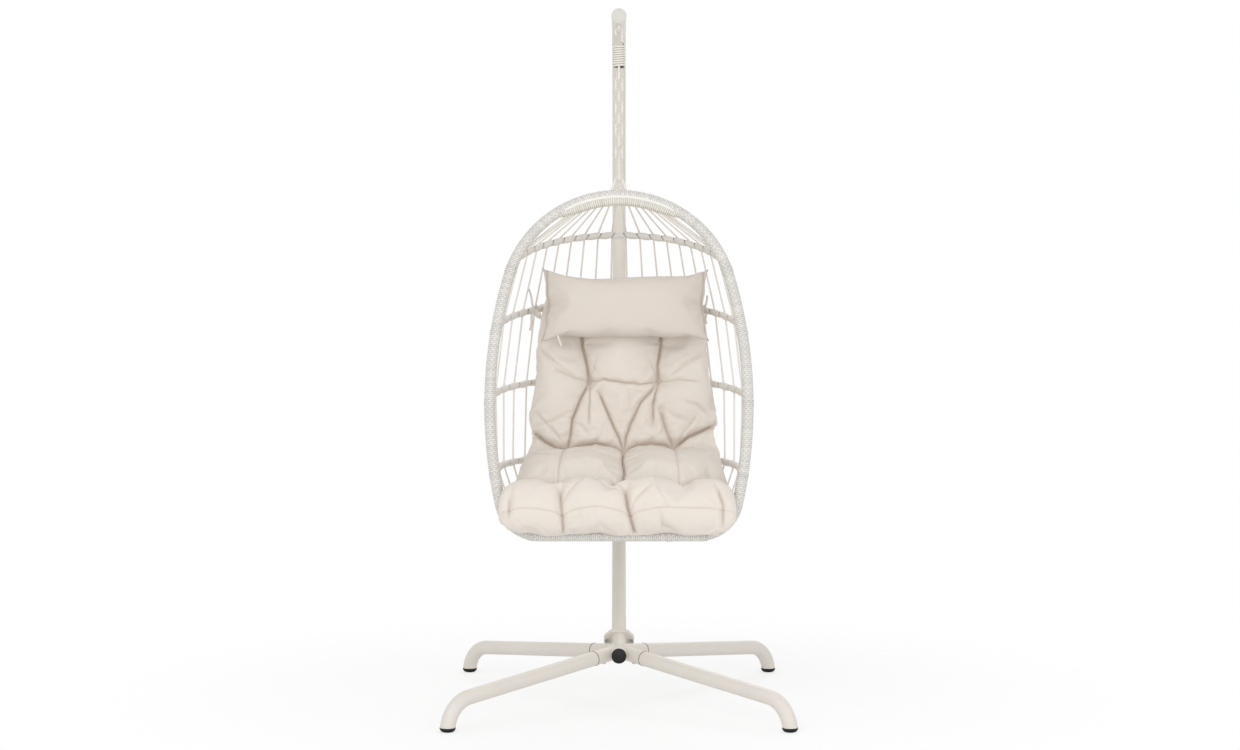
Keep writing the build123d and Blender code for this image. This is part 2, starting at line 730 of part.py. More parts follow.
for number, path in enumerate(hoop_paths, start=1):
    hoop_bar = hoop_rods[number - 1]
    hoop_sleeve = pipe(path, hoop_wrap_od / 2, hoop_rod / 2)
    with BuildPart() as rod:
        add(hoop_bar)
        add(rim_core, mode=Mode.SUBTRACT)
    rod_body = max(rod.part.solids(), key=lambda solid: solid.volume)
    rod_body.label = f"hoop_rod_{number}"
    export_step(rod_body, f"parts/hoop_rod_{number}.step")
    with BuildPart() as sleeve:
        add(hoop_sleeve)
        add(rim_envelope, mode=Mode.SUBTRACT)
    sleeve_body = max(sleeve.part.solids(), key=lambda solid: solid.volume)
    sleeve_body.label = f"hoop_wrap_{number}"
    export_step(sleeve_body, f"parts/hoop_wrap_{number}.step")

with BuildPart() as rim_tube:
    add(rim_core)
    add(rim_bore, mode=Mode.SUBTRACT)
rim_tube.part.label = "rim_tube"
export_step(rim_tube.part, "parts/rim_tube.step")

with BuildPart() as rim_wrap:
    add(rim_envelope)
    add(rim_core, mode=Mode.SUBTRACT)
    add(hanger_bar, mode=Mode.SUBTRACT)
    for hoop_bar in hoop_rods:
        add(hoop_bar, mode=Mode.SUBTRACT)
rim_wrap.part.label = "rim_wrap"
export_step(rim_wrap.part, "parts/rim_wrap.step")

# ---- Strings ---------------------------------------------------------------------------

string_radius = string_od / 2
hoop_radius = hoop_wrap_od / 2
rim_radius = rim_wrap_od / 2
string_bend = hoop_radius + string_radius + play     # a string's turn round a hoop


def across(direction, along):
    """The part of a direction that is square to a line."""
    line = along.normalized()
    return (direction - line * direction.dot(line)).normalized()


def string_route(index):
    """One string: a knot on the rim's top, a turn round the outside of each hoop, a last knot."""
    share = string_margin + (1 - 2 * string_margin) * index / (string_count - 1)
    rim_x = string_arch_half * (2 * share - 1)
    rim_v = top_centre + sqrt(rim_top_radius ** 2 - rim_x ** 2)
    rim_along = rim_plane.from_local_coords(Vector(top_centre - rim_v, rim_x, 0)) - rim_plane.origin
    centres = [rim_plane.from_local_coords(Vector(rim_x, rim_v, 0))]
    centres += [path @ share for path in hoop_paths]
    first = across((centres[1] - centres[0]).normalized(), rim_along)
    final = (centres[-2] - centres[-1]).normalized()
    points = [centres[0] + first * (rim_radius + string_radius - string_sink)]
    for number, centre in enumerate(centres[1:-1], start=1):
        back = (centres[number - 1] - centre).normalized()
        on = (centres[number + 1] - centre).normalized()
        outward = across((back + on) * -1, hoop_paths[number - 1] % share)
        half_turn = radians(180 - back.get_angle(on)) / 2
        points.append(centre + outward * (string_bend / cos(half_turn)))
    return points + [centres[-1] + final * (hoop_radius - string_sink)]


string_bars = []
for index in range(string_count):
    route = FilletPolyline(*string_route(index), radius=string_bend)
    string_bars.append(bar(route, string_radius))
with BuildPart() as string_web:
    for string_bar in string_bars:
        add(string_bar)
string_web.part.label = "string_web"
export_step(string_web.part, "parts/string_web.step")

last = len(hoop_paths) - 1
last_half = rim_half((hoop_ends[last] - rim_bottom) / cos(tilt))
last_depth = hoop_planes[last].to_local_coords(hoop_paths[last] @ 0.5).Y
seat_bars = []
for index in range(seat_string_count):
    seat_x = seat_string_half * (2 * index / (seat_string_count - 1) - 1)
    rim_point = rim_plane.from_local_coords(Vector(min(max(seat_x, -corner_x), corner_x), 0, 0))
    back_v = last_depth - last_half + sqrt(last_half ** 2 - seat_x ** 2)
    back_point = hoop_planes[last].from_local_coords(Vector(seat_x, back_v, 0))
    along = (back_point - rim_point).normalized()
    front_end = rim_point + along * (rim_radius - string_sink)
    back_end = back_point - along * (hoop_radius - string_sink)
    seat_bars.append(bar(Edge.make_line(front_end, back_end), string_radius))
with BuildPart() as seat_strings:
    for seat_bar in seat_bars:
        add(seat_bar)
seat_strings.part.label = "seat_strings"
export_step(seat_strings.part, "parts/seat_strings.step")

# ---- Cushion and pillow ----------------------------------------------------------------

lean = radians(cushion_back_lean)
cushion_half_width = rim_half_width - cushion_side_gap
cushion_crease = rim_bottom + cushion_crease_rise
cushion_top = cushion_crease + cushion_back_rise
bar_top = rim_bottom + rim_radius + play
nose_back = rim_foot_y - rim_radius - play - nose_gap
nose_front = rim_foot_y - cushion_nose_reach
nose_foot = bar_top - cushion_nose_drop
seat_top = nose_foot + cushion_nose_thick
back_plane = Plane(
    origin=(0, hub_y + cushion_crease_y, cushion_crease),
    x_dir=(1, 0, 0),
    z_dir=(0, -cos(lean), sin(lean)),
)
back_length = cushion_back_rise / cos(lean)
seat_back = cushion_crease_y + cushion_thick


def back_outline(half):
    """The cushion back across its length: flat in front, thinner at its sides."""
    inner = half * 0.7
    return [
        (-half, 0),
        (half, 0),
        (half, cushion_edge_thick),
        (inner, cushion_thick),
        (-inner, cushion_thick),
        (-half, cushion_edge_thick),
    ]


with BuildPart() as cushion:
    # the seat's side profile, cut to the plan of the basket and to the rim's rounded corners
    with BuildSketch(side_plane.offset(-cushion_half_width)):
        Polygon(
            (nose_back, seat_top),
            (nose_back, bar_top),
            (rim_foot_y + rim_radius, bar_top),
            (rim_foot_y + 6 * rim_radius, bar_top + 3),
            (rim_foot_y + 12 * rim_radius, bar_top + 28),
            (seat_back - 70, bar_top + 32),
            (seat_back, bar_top + 127),
            (seat_back + 5, cushion_crease + 20),
            (cushion_crease_y, cushion_crease),
            (cushion_crease_y - 90, cushion_crease - 45),
            (cushion_crease_y - 190, seat_top - 6),
            align=None,
        )
    extrude(amount=2 * cushion_half_width)
    with BuildSketch(Plane.XY.offset(nose_foot)):
        Polygon(
            (-cushion_half_width, hub_y + nose_back),
            (cushion_half_width, hub_y + nose_back),
            (cushion_half_width, hub_y),
            (seat_back_half, hub_y + seat_back + 5),
            (-seat_back_half, hub_y + seat_back + 5),
            (-cushion_half_width, hub_y),
            align=None,
        )
    extrude(amount=cushion_top, mode=Mode.INTERSECT)
    with BuildSketch(front_plane.offset(-seat_back - 5)):
        Polygon(
            (-cushion_half_width, bar_top + 86),
            (-0.95 * cushion_half_width, bar_top + 36),
            (-0.75 * cushion_half_width, bar_top),
            (0.75 * cushion_half_width, bar_top),
            (0.95 * cushion_half_width, bar_top + 36),
            (cushion_half_width, bar_top + 86),
            (cushion_half_width, cushion_crease - 60),
            (cushion_back_half, cushion_crease + 20),
            (-cushion_back_half, cushion_crease + 20),
            (-cushion_half_width, cushion_crease - 60),
            align=None,
        )
    extrude(amount=seat_back - nose_back + 5, mode=Mode.INTERSECT)
    # the back, narrower and thinner at its edges and towards its top
    with BuildSketch(Plane(back_plane.origin, x_dir=(1, 0, 0), z_dir=(0, sin(lean), cos(lean)))):
        Polygon(*back_outline(cushion_back_half), align=None)
    with BuildSketch(Plane(back_plane.origin, x_dir=(1, 0, 0),
                           z_dir=(0, sin(lean), cos(lean))).offset(back_length)):
        Polygon(*back_outline(cushion_top_half), align=None)
    loft()
    # the nose that hangs over the rim's lower bar
    with BuildSketch(front_plane.offset(-nose_back)):
        with Locations((0, (nose_foot + seat_top) / 2)):
            RectangleRounded(2 * cushion_nose_half, cushion_nose_thick, nose_corner)
    extrude(amount=nose_back - nose_front)
cushion.part.label = "cushion"
export_step(cushion.part, "parts/cushion.step")

pillow_low = pillow_rise / cos(lean)
with BuildPart() as pillow:
    with BuildSketch(back_plane.offset(play)):
        with Locations((0, pillow_low + pillow_height / 2)):
            Rectangle(pillow_width, pillow_height)
    extrude(amount=pillow_thick)
    fillet(pillow.edges(), pillow_corner)
pillow.part.label = "pillow"
export_step(pillow.part, "parts/pillow.step")
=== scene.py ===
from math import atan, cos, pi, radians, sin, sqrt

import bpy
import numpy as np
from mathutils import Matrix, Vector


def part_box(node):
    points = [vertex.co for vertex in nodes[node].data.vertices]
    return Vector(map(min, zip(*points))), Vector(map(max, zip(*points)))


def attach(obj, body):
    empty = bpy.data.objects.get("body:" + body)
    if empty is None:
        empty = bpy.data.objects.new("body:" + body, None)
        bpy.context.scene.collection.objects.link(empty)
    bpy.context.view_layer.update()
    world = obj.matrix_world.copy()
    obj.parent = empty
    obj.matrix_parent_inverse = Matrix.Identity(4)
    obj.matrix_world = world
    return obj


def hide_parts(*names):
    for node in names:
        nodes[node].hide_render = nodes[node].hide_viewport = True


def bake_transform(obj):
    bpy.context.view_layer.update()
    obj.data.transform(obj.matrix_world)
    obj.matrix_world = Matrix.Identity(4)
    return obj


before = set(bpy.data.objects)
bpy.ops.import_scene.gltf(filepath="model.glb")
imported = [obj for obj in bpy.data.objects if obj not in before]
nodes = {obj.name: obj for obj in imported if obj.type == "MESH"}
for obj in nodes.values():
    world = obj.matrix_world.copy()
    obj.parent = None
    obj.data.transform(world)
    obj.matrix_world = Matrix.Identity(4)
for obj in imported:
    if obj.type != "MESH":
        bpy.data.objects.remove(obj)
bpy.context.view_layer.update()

# %% [markdown]
# # A hanging egg chair
# The steel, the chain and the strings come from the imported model, which stands at its real size in
# metres. This script gives them their paint and plastic, winds the wicker on the rim and the hoops,
# and sews and stuffs the cushion and the pillow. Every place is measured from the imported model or
# worked out from a few sizes of the chair.

scene = bpy.context.scene

# %% [markdown]
# ## Camera
# A chair nearly two metres tall looks natural from a few metres away with a longer lens, at the
# height of the seat's head. The picture is shifted down a little, so that the post stays upright.

# %% Camera
CAMERA_DISTANCE = 6.562
CAMERA_HEIGHT = 1.2406
CAMERA_DOWN = 1.498          # degrees below level
spring_low, spring_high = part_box("spring")
hang_x = 0.5 * (spring_low.x + spring_high.x)
hang_y = 0.5 * (spring_low.y + spring_high.y)

camera_data = bpy.data.cameras.new("camera")
camera_data.sensor_width = 36.0
camera_data.lens = 67.04
camera_data.shift_y = -0.04
camera = bpy.data.objects.new("camera", camera_data)
camera.location = (0.003, hang_y - CAMERA_DISTANCE, CAMERA_HEIGHT)
camera.rotation_euler = (radians(90.0 - CAMERA_DOWN), 0.0, 0.0)
scene.collection.objects.link(camera)
scene.camera = camera
print("camera stands", round(CAMERA_DISTANCE, 2), "m in front of the hanging point")

# %% [markdown]
# ## Helpers
# Many steps share these: a mesh from its points, values kept with the points, what a piece wears and
# rides on, and shader nodes in one line each.


# %% Mesh helpers
def mesh_object(name, points, faces):
    """A new smooth mesh object from corner points and faces."""
    mesh = bpy.data.meshes.new(name)
    mesh.from_pydata([tuple(p) for p in points], [], faces)
    mesh.polygons.foreach_set("use_smooth", [True] * len(mesh.polygons))
    mesh.update()
    made = bpy.data.objects.new(name, mesh)
    scene.collection.objects.link(made)
    return made


def keep_values(piece, **values):
    """Stores values with a mesh's points: a vector where the label ends in place, else a number."""
    for label, data in values.items():
        vector = label.endswith("place")
        kept = piece.data.attributes.new(label, "FLOAT_VECTOR" if vector else "FLOAT", "POINT")
        kept.data.foreach_set("vector" if vector else "value", data.astype(np.float32).ravel())


def read_rows(points, what="co", kind=float):
    """Vectors read from points as rows: their places, their normals or what is stored with them."""
    rows = np.zeros(3 * len(points), kind)
    points.foreach_get(what, rows)
    return rows.reshape(-1, 3)


def move_points(piece, rows):
    """Puts the points of a mesh at new places."""
    piece.data.vertices.foreach_set("co", rows.ravel())
    piece.data.update()


def press_in(piece, depth):
    """Moves each point in along its normal, by its own depth."""
    points = piece.data.vertices
    move_points(piece, read_rows(points) - read_rows(points, "normal") * depth[:, None])


def dress(piece, finish, body="basket", replaces=None):
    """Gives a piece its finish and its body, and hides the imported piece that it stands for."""
    piece.data.materials.append(finish)
    if replaces:
        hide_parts(replaces)
    if body:
        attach(piece, body)


# %% Node helpers
def add_node(tree, kind, inputs=None, **settings):
    """A shader node with its settings. Each input is a plain value or comes from another node."""
    node = tree.nodes.new("ShaderNode" + kind)
    for setting, value in settings.items():
        setattr(node, setting, value)
    for label, value in (inputs or {}).items():
        if isinstance(value, bpy.types.NodeSocket):
            tree.links.new(value, node.inputs[label])
        else:
            node.inputs[label].default_value = value
    return node


def calc(first, operation, second=0.0):
    """A math node on two values, at least one of which comes from another node."""
    tree = (first if isinstance(first, bpy.types.NodeSocket) else second).id_data
    return add_node(tree, "Math", {0: first, 1: second}, operation=operation).outputs[0]


def shade(colour, amount):
    """A colour made darker by a share of itself."""
    value = calc(1.0, "SUBTRACT", amount)
    return add_node(colour.id_data, "HueSaturation", {"Color": colour, "Value": value}).outputs["Color"]


def noise(tree, scale, detail=2.0, place=None):
    """Soft noise from 0 to 1 on the piece, or at a given place."""
    if place is None:
        place = add_node(tree, "TexCoord").outputs["Object"]
    return add_node(tree, "TexNoise", {"Scale": scale, "Detail": detail, "Vector": place}).outputs["Fac"]


def stored(tree, name, output="Fac"):
    """A value that a mesh keeps at each of its points."""
    return add_node(tree, "Attribute", attribute_name=name).outputs[output]


def new_finish(name, **plain):
    """A new material, its tree, and its Principled shader set to plain values."""
    material = bpy.data.materials.new(name)
    material.use_nodes = True
    shader = material.node_tree.nodes["Principled BSDF"]
    for label, value in plain.items():
        shader.inputs[label.replace("_", " ")].default_value = value
    return material, material.node_tree, shader


def new_group(name, inputs, results):
    """A shader node group with named inputs and results, and the sockets its inputs come in by."""
    group = bpy.data.node_groups.new(name, "ShaderNodeTree")
    for label, value in inputs.items():
        kind = {1: "Float", 3: "Vector", 4: "Color"}[np.size(value)]
        socket = group.interface.new_socket(label, in_out="INPUT", socket_type="NodeSocket" + kind)
        socket.default_value = value
    for label in results:
        kind = "Color" if label == "Colour" else "Float"
        group.interface.new_socket(label, in_out="OUTPUT", socket_type="NodeSocket" + kind)
    return group, group.nodes.new("NodeGroupInput").outputs


def send_out(group, **results):
    """Links the results of a group to its output."""
    end = group.nodes.new("NodeGroupOutput")
    for label, value in results.items():
        group.links.new(value, end.inputs[label])


# %% [markdown]
# ## Light, floor and background
# A white room: the world lights everything evenly, and a large soft lamp in front and above gives the
# folds their shade. Weaker lamps light the other side, the back, and from low down the underside. The
# world is white to the camera and to reflections, and the floor takes the shadow of the feet.

# %% World
AMBIENT = 0.72
scene.view_settings.view_transform = "Standard"
world = bpy.data.worlds.new("white_room")
world.use_nodes = True
scene.world = world
background = world.node_tree.nodes["Background"]
background.inputs["Color"].default_value = (1.0, 1.0, 1.0, 1.0)
rays = add_node(world.node_tree, "LightPath").outputs
seen = calc(rays["Is Camera Ray"], "MAXIMUM", rays["Is Glossy Ray"])
seen = calc(seen, "MAXIMUM", rays["Is Transmission Ray"])
strength = add_node(world.node_tree, "MapRange", {"Value": seen, "To Min": AMBIENT, "To Max": 1.0})
world.node_tree.links.new(strength.outputs["Result"], background.inputs["Strength"])
print("world strength on the chair", AMBIENT)

# %% Lamps
seat_middle = (0.0, hang_y, 0.9)
LAMPS = [
    # name, place, what it lights, size in metres and power in watts
    ("key_lamp", (-2.2, -3.2, 3.4), seat_middle, 3.2, 47.0),
    ("fill_lamp", (2.8, -2.4, 2.0), seat_middle, 2.0, 18.0),
    ("back_lamp", (0.6, 3.0, 3.2), seat_middle, 2.0, 30.0),
    ("low_lamp", (0.3, -4.2, 0.9), (0.0, 0.0, 0.6), 2.2, 28.0),
]
for name, place, aim, size, power in LAMPS:
    lamp_data = bpy.data.lights.new(name, "AREA")
    lamp_data.shape = "SQUARE"
    lamp_data.size = size
    lamp_data.energy = power
    lamp = bpy.data.objects.new(name, lamp_data)
    lamp.location = place
    lamp.rotation_euler = (Vector(aim) - Vector(place)).to_track_quat("-Z", "Y").to_euler()
    scene.collection.objects.link(lamp)
print(len(LAMPS), "lamps")

# %% Floor
HALF_FLOOR = 7.0
FADE_START = 0.55            # from the chair's middle: from here on the floor turns white
FADE_END = 1.7
FADE_LEAST = 0.66            # how white it is already under the chair
corners = [(HALF_FLOOR * x, HALF_FLOOR * y, 0.0) for x, y in ((-1, -1), (1, -1), (1, 1), (-1, 1))]
floor = mesh_object("floor", corners, [(0, 1, 2, 3)])
floor_paint, floor_tree, floor_shader = new_finish(
    "floor_paint", Base_Color=(0.93, 0.93, 0.93, 1.0), Roughness=0.9, Specular_IOR_Level=0.0
)
# away from the feet the floor turns into the white background, but only to the camera
floor_place = add_node(floor_tree, "TexCoord").outputs["Object"]
distance = add_node(floor_tree, "VectorMath", {0: floor_place}, operation="LENGTH").outputs["Value"]
fade = add_node(floor_tree, "MapRange", {
    "Value": distance, "From Min": FADE_START, "From Max": FADE_END, "To Min": FADE_LEAST,
}, interpolation_type="SMOOTHSTEP").outputs["Result"]
white_share = calc(fade, "MULTIPLY", add_node(floor_tree, "LightPath").outputs["Is Camera Ray"])
white = add_node(floor_tree, "Emission").outputs[0]
floor_mix = add_node(floor_tree, "MixShader", {"Fac": white_share, 1: floor_shader.outputs[0], 2: white})
floor_tree.links.new(floor_mix.outputs[0], floor_tree.nodes["Material Output"].inputs["Surface"])
floor.data.materials.append(floor_paint)

# %% [markdown]
# ## Shared effects
# Three effects come back in several materials, so each is one node group. *Fine grain* is the
# faint mottle and orange peel of paint and plastic. *Woven cloth* lays threads along the two
# directions stored on the cloth. *Wound strand* paints shade into the grooves between the turns of
# a winding and tints the turns a little differently.

# %% Fine grain
CLOUD_SCALE = 14.0
PLAIN_COLOUR = (0.8, 0.8, 0.8, 1.0)
grain_group, grain_in = new_group(
    "fine_grain", {"Colour": PLAIN_COLOUR, "Scale": 900.0, "Mottle": 0.05, "Roughness": 0.4},
    ("Colour", "Roughness", "Height"),
)
peel = noise(grain_group, grain_in["Scale"])
dusty = calc(noise(grain_group, CLOUD_SCALE, 4.0), "MULTIPLY", grain_in["Mottle"])
uneven = calc(calc(peel, "SUBTRACT", 0.5), "MULTIPLY", 0.12)
send_out(grain_group, Colour=shade(grain_in["Colour"], dusty),
         Roughness=calc(grain_in["Roughness"], "ADD", uneven), Height=peel)

# %% Woven cloth
SLUB_ACROSS = 700.0          # how often the threads get thicker, per metre, across and along them
SLUB_ALONG = 60.0
weave_group, weave_in = new_group("woven_cloth", {
    "Colour": PLAIN_COLOUR, "Place": (0.0, 0.0, 0.0), "Threads per metre": 900.0, "Slub": 0.06,
    "Thread shade": 0.02,
}, ("Colour", "Height"))
axes = add_node(weave_group, "SeparateXYZ", {0: weave_in["Place"]}).outputs
turns = calc(weave_in["Threads per metre"], "MULTIPLY", 2 * pi)
warp, weft = (calc(calc(axes[way], "MULTIPLY", turns), "SINE") for way in "XY")
thread_height = calc(warp, "MULTIPLY", weft)


def slubs(stretch):
    """Uneven threads: noise drawn out along one direction of the cloth."""
    drawn = add_node(weave_group, "VectorMath", {0: weave_in["Place"], 1: stretch}, operation="MULTIPLY")
    return noise(weave_group, 1.0, 3.0, drawn.outputs[0])


uneven_threads = calc(slubs((SLUB_ALONG, SLUB_ACROSS, 1.0)), "ADD", slubs((SLUB_ACROSS, SLUB_ALONG, 1.0)))
thread_shade = calc(uneven_threads, "MULTIPLY", weave_in["Slub"])
fine_shade = calc(calc(thread_height, "ADD", 1.0), "MULTIPLY", weave_in["Thread shade"])
send_out(weave_group, Colour=shade(weave_in["Colour"], calc(thread_shade, "ADD", fine_shade)),
         Height=calc(thread_height, "ADD", uneven_threads))

# %% Wound strand
FIBRE_SCALE = 1600.0
strand_group, strand_in = new_group("wound_strand", {
    "Colour": PLAIN_COLOUR, "Groove": 0.0, "Turn": 0.5, "Groove shade": 0.45, "Turn shade": 0.12,
}, ("Colour", "Height"))
fibre = noise(strand_group, FIBRE_SCALE, 3.0)
# painted shade: the groove value darkens the colour in the grooves between the turns
groove_shade = calc(strand_in["Groove"], "MULTIPLY", strand_in["Groove shade"])
turn_shade = calc(strand_in["Turn"], "MULTIPLY", strand_in["Turn shade"])
strand_shade = calc(calc(groove_shade, "ADD", turn_shade), "ADD", calc(fibre, "MULTIPLY", 0.05))
send_out(strand_group, Colour=shade(strand_in["Colour"], strand_shade), Height=fibre)
print("node groups", [group.name for group in bpy.data.node_groups])

# %% [markdown]
# ## Finishes
# Each finish is a short function with its own Principled shader. The group gives it the colour that
# changes over the surface, and the plain numbers sit on the shader itself.

# %% Finish helpers
BRAIDS_PER_METRE = 68.0
# the colour of the painted shade in the cloth's folds, seams and wrinkles
PAINTED_FOLD_SHADE = (0.36, 0.26, 0.18, 1.0)


def use_group(tree, group, colour, **values):
    """What comes out of a node group in a material, with its own colour and values."""
    inputs = {label.replace("_", " "): value for label, value in values.items()}
    return add_node(tree, "Group", {"Colour": colour, **inputs}, node_tree=group).outputs


def surface(shader, colour, height, strength, depth):
    """Gives a shader its colour, and a height that changes the shading as a fine relief would."""
    tree = shader.id_data
    tree.links.new(colour, shader.inputs["Base Color"])
    bump = add_node(tree, "Bump", {"Strength": strength, "Distance": depth, "Height": height})
    tree.links.new(bump.outputs["Normal"], shader.inputs["Normal"])


def grained(name, colour, roughness, scale, mottle, depth, **plain):
    """Paint, plastic or metal with a fine grain."""
    material, tree, shader = new_finish(name, Roughness=roughness, **plain)
    grain = use_group(tree, grain_group, (*colour, 1.0), Scale=scale, Mottle=mottle, Roughness=roughness)
    tree.links.new(grain["Roughness"], shader.inputs["Roughness"])
    surface(shader, grain["Colour"], grain["Height"], 0.15, depth)
    return material


def wound(name, colour, roughness, groove, turn, braid_shade=0.0):
    """Wicker wound in turns: the mesh says where a groove is and which turn a point is on."""
    material, tree, shader = new_finish(name, Roughness=roughness, Specular_IOR_Level=0.35)
    colour = (*colour, 1.0)
    # painted shade: a speckle of dark dots on the rim stands for the shade in the gaps of its braid
    if braid_shade:
        place = stored(tree, "wound_place", "Vector")
        colour = use_group(tree, weave_group, colour, Place=place, Threads_per_metre=BRAIDS_PER_METRE,
                           Slub=0.07, Thread_shade=braid_shade)["Colour"]
    # painted shade: the mesh's groove value darkens the grooves between the turns, and the turn value tints
    # each turn
    strand = use_group(tree, strand_group, colour, Groove=stored(tree, "groove"),
                       Turn=stored(tree, "turn"), Groove_shade=groove, Turn_shade=turn)
    surface(shader, strand["Colour"], strand["Height"], 0.2, 0.0002)
    return material


def woven(name, colour, threads, slub, fold_shade=0.0):
    """Woven polyester on a padded piece: matt, with a faint nap."""
    material, tree, shader = new_finish(
        name, Roughness=0.92, Specular_IOR_Level=0.18, Sheen_Weight=0.12, Sheen_Roughness=0.6
    )
    place = stored(tree, "cloth_place", "Vector")
    cloth = use_group(tree, weave_group, (*colour, 1.0), Place=place, Threads_per_metre=threads, Slub=slub)
    # painted shade: the cloth turns brown where the mesh's fold value says a fold, a seam or a wrinkle is
    crease = calc(stored(tree, "fold"), "MULTIPLY", fold_shade)
    # a mix of colours takes them on its inputs 6 and 7 and gives the result on its output 2
    mixed = add_node(tree, "Mix", {0: crease, 6: cloth["Colour"], 7: PAINTED_FOLD_SHADE}, data_type="RGBA")
    surface(shader, mixed.outputs[2], cloth["Height"], 0.3, 0.00025)
    return material


# %% Paint, metal and plastic
FITTINGS = (0.76, 0.725, 0.67)
ivory_paint = grained("ivory_powder_coat", (0.710, 0.668, 0.612), 0.42, 1100.0, 0.05, 0.00025)
fittings_paint = grained("ivory_painted_fittings", FITTINGS, 0.36, 900.0, 0.10, 0.0002)
zinc = grained("bright_zinc", (0.62, 0.62, 0.63), 0.28, 700.0, 0.15, 0.0001, Metallic=1.0)
black_plastic = grained("black_moulded_plastic", (0.008, 0.008, 0.009), 0.45, 800.0, 0.2, 0.0003,
                        Specular_IOR_Level=0.3)
ivory_plastic = grained("ivory_moulded_plastic", (0.63, 0.61, 0.57), 0.45, 800.0, 0.05, 0.0002)
joint_shadow = grained("shadow_in_a_joint", (0.15, 0.13, 0.11), 0.8, 600.0, 0.1, 0.0002)
bare_steel = grained("steel_under_the_wicker", (0.55, 0.54, 0.52), 0.5, 600.0, 0.1, 0.0002)

# %% Wicker, string and cloth
# each wound finish: colour, roughness, the painted shade in its grooves, the tint of its turns, and on the
# rim the painted shade speckle of its braid
rim_wicker = wound("pale_rim_wicker", (0.95, 0.921, 0.870), 0.5, 0.50, 0.11, braid_shade=0.095)
hoop_wicker = wound("hoop_wicker", (0.765, 0.732, 0.68), 0.5, 0.60, 0.08)
loop_finish = wound("string_loops_on_the_arch", (0.80, 0.76, 0.685), 0.48, 0.46, 0.10)
spring_wire = wound("painted_spring_wire", FITTINGS, 0.38, 0.72, 0.0)
strip_finish = wound("smooth_strip_on_the_arch", (0.83, 0.808, 0.77), 0.5, 0.30, 0.05)
string_finish = grained("ivory_string", (0.80, 0.765, 0.70), 0.5, 1500.0, 0.06, 0.0003)
cushion_cloth = woven("beige_cushion_cloth", (0.81, 0.742, 0.672), 1100.0, 0.055, 0.75)
pillow_cloth = woven("beige_pillow_cloth", (0.735, 0.667, 0.602), 1100.0, 0.055, 0.60)
tie_cloth = woven("beige_tie_tape", (0.80, 0.745, 0.675), 1300.0, 0.05)

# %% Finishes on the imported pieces
finish_starts = [
    # a finish, and how the names of its pieces start
    (black_plastic, ("hub_cap", "foot_cap")),
    (ivory_plastic, ("arm_cap",)),
    (ivory_paint, ("hub", "post_lower", "post_upper", "leg_front", "leg_rear")),
    (fittings_paint, ("arm_eye", "spring", "snap_hook", "snap_gate", "hanger", "chain_link")),
    (zinc, ("flange_bolts", "flange_nuts", "leg_screws", "post_screws")),
    (bare_steel, ("rim_tube", "hoop_rod")),
    (string_finish, ("string_web", "seat_strings")),
]
for name, node in nodes.items():
    chosen = next((finish for finish, starts in finish_starts if name.startswith(starts)), None)
    if chosen is not None:
        node.data.materials.clear()
        node.data.materials.append(chosen)
print(len(nodes), "packed pieces,", sum(1 for n in nodes.values() if n.data.materials), "with a finish")

# %% [markdown]
# ## Tubes along flat lines
# The rim and the hoops are flat curves of straight runs and arcs. A winding needs many points along
# such a line, evenly spaced, with the way it runs at each point. A tube then follows the line with a
# radius that may change along it and round it.


# %% Walking along a flat line
def arc(centre, radius, start, end):
    """An arc as a run of a flat line: its length and the point at a share of it."""
    def at(share):
        turn = start + (end - start) * share
        return centre[0] + radius * cos(turn), centre[1] + radius * sin(turn)
    return radius * abs(end - start), at


def straight(start, end):
    """A straight run of a flat line: its length and the point at a share of it."""
    def at(share):
        return start[0] + (end[0] - start[0]) * share, start[1] + (end[1] - start[1]) * share
    return sqrt((end[0] - start[0]) ** 2 + (end[1] - start[1]) ** 2), at


def walk(runs, step):
    """Evenly spaced points along a flat line, and how far along it each one is."""
    total = sum(length for length, _ in runs)
    places = np.linspace(0.0, total, int(round(total / step)) + 1)
    points = []
    for place in places:
        for length, at in runs:
            if place <= length + 1e-9:
                break
            place -= length
        points.append(at(min(place / length, 1.0)))
    return np.array(points), places


# %% A tube that follows a flat line
def ring_faces(rows, around, closed=False, gap=False):
    """Faces between rings of points. closed joins the last ring to the first, gap leaves one side open."""
    faces = []
    for i in range(rows if closed else rows - 1):
        here, there = i * around, (i + 1) % rows * around
        for j in range(around - 1 if gap else around):
            k = (j + 1) % around
            faces.append((here + j, here + k, there + k, there + j))
    return faces


def tube_along(name, origin, across, up, flat, radius, closed, angles=None, **values):
    """A tube round a flat line. radius and the values are arrays with one row for each place."""
    origin, across, up = (np.array(v, float) for v in (origin, across, up))
    side = np.cross(across, up)
    way = np.gradient(flat, axis=0)
    if closed:
        way[0] = way[-1] = flat[1] - flat[-2]
    way /= np.linalg.norm(way, axis=1)[:, None]
    outward = way[:, 1:2] * across - way[:, 0:1] * up
    centre = origin + flat[:, 0:1] * across + flat[:, 1:2] * up
    around = radius.shape[1]
    open_side = angles is not None
    if not open_side:
        angles = np.arange(around) * 2 * pi / around
    points = (
        centre[:, None, :]
        + radius[:, :, None] * np.cos(angles)[None, :, None] * outward[:, None, :]
        + radius[:, :, None] * np.sin(angles)[None, :, None] * side[None, None, :]
    )
    rows = len(flat) - 1 if closed else len(flat)
    faces = ring_faces(rows, around, closed, open_side)
    if not (open_side or closed):
        faces.append(tuple(reversed(range(around))))
        faces.append(tuple(range((rows - 1) * around, rows * around)))
    # a ring's points run clockwise, so the faces are turned over to look outward
    made = mesh_object(name, points[:rows].reshape(-1, 3), [face[::-1] for face in faces])
    keep_values(made, **{label: value[:rows] for label, value in values.items()})
    return made
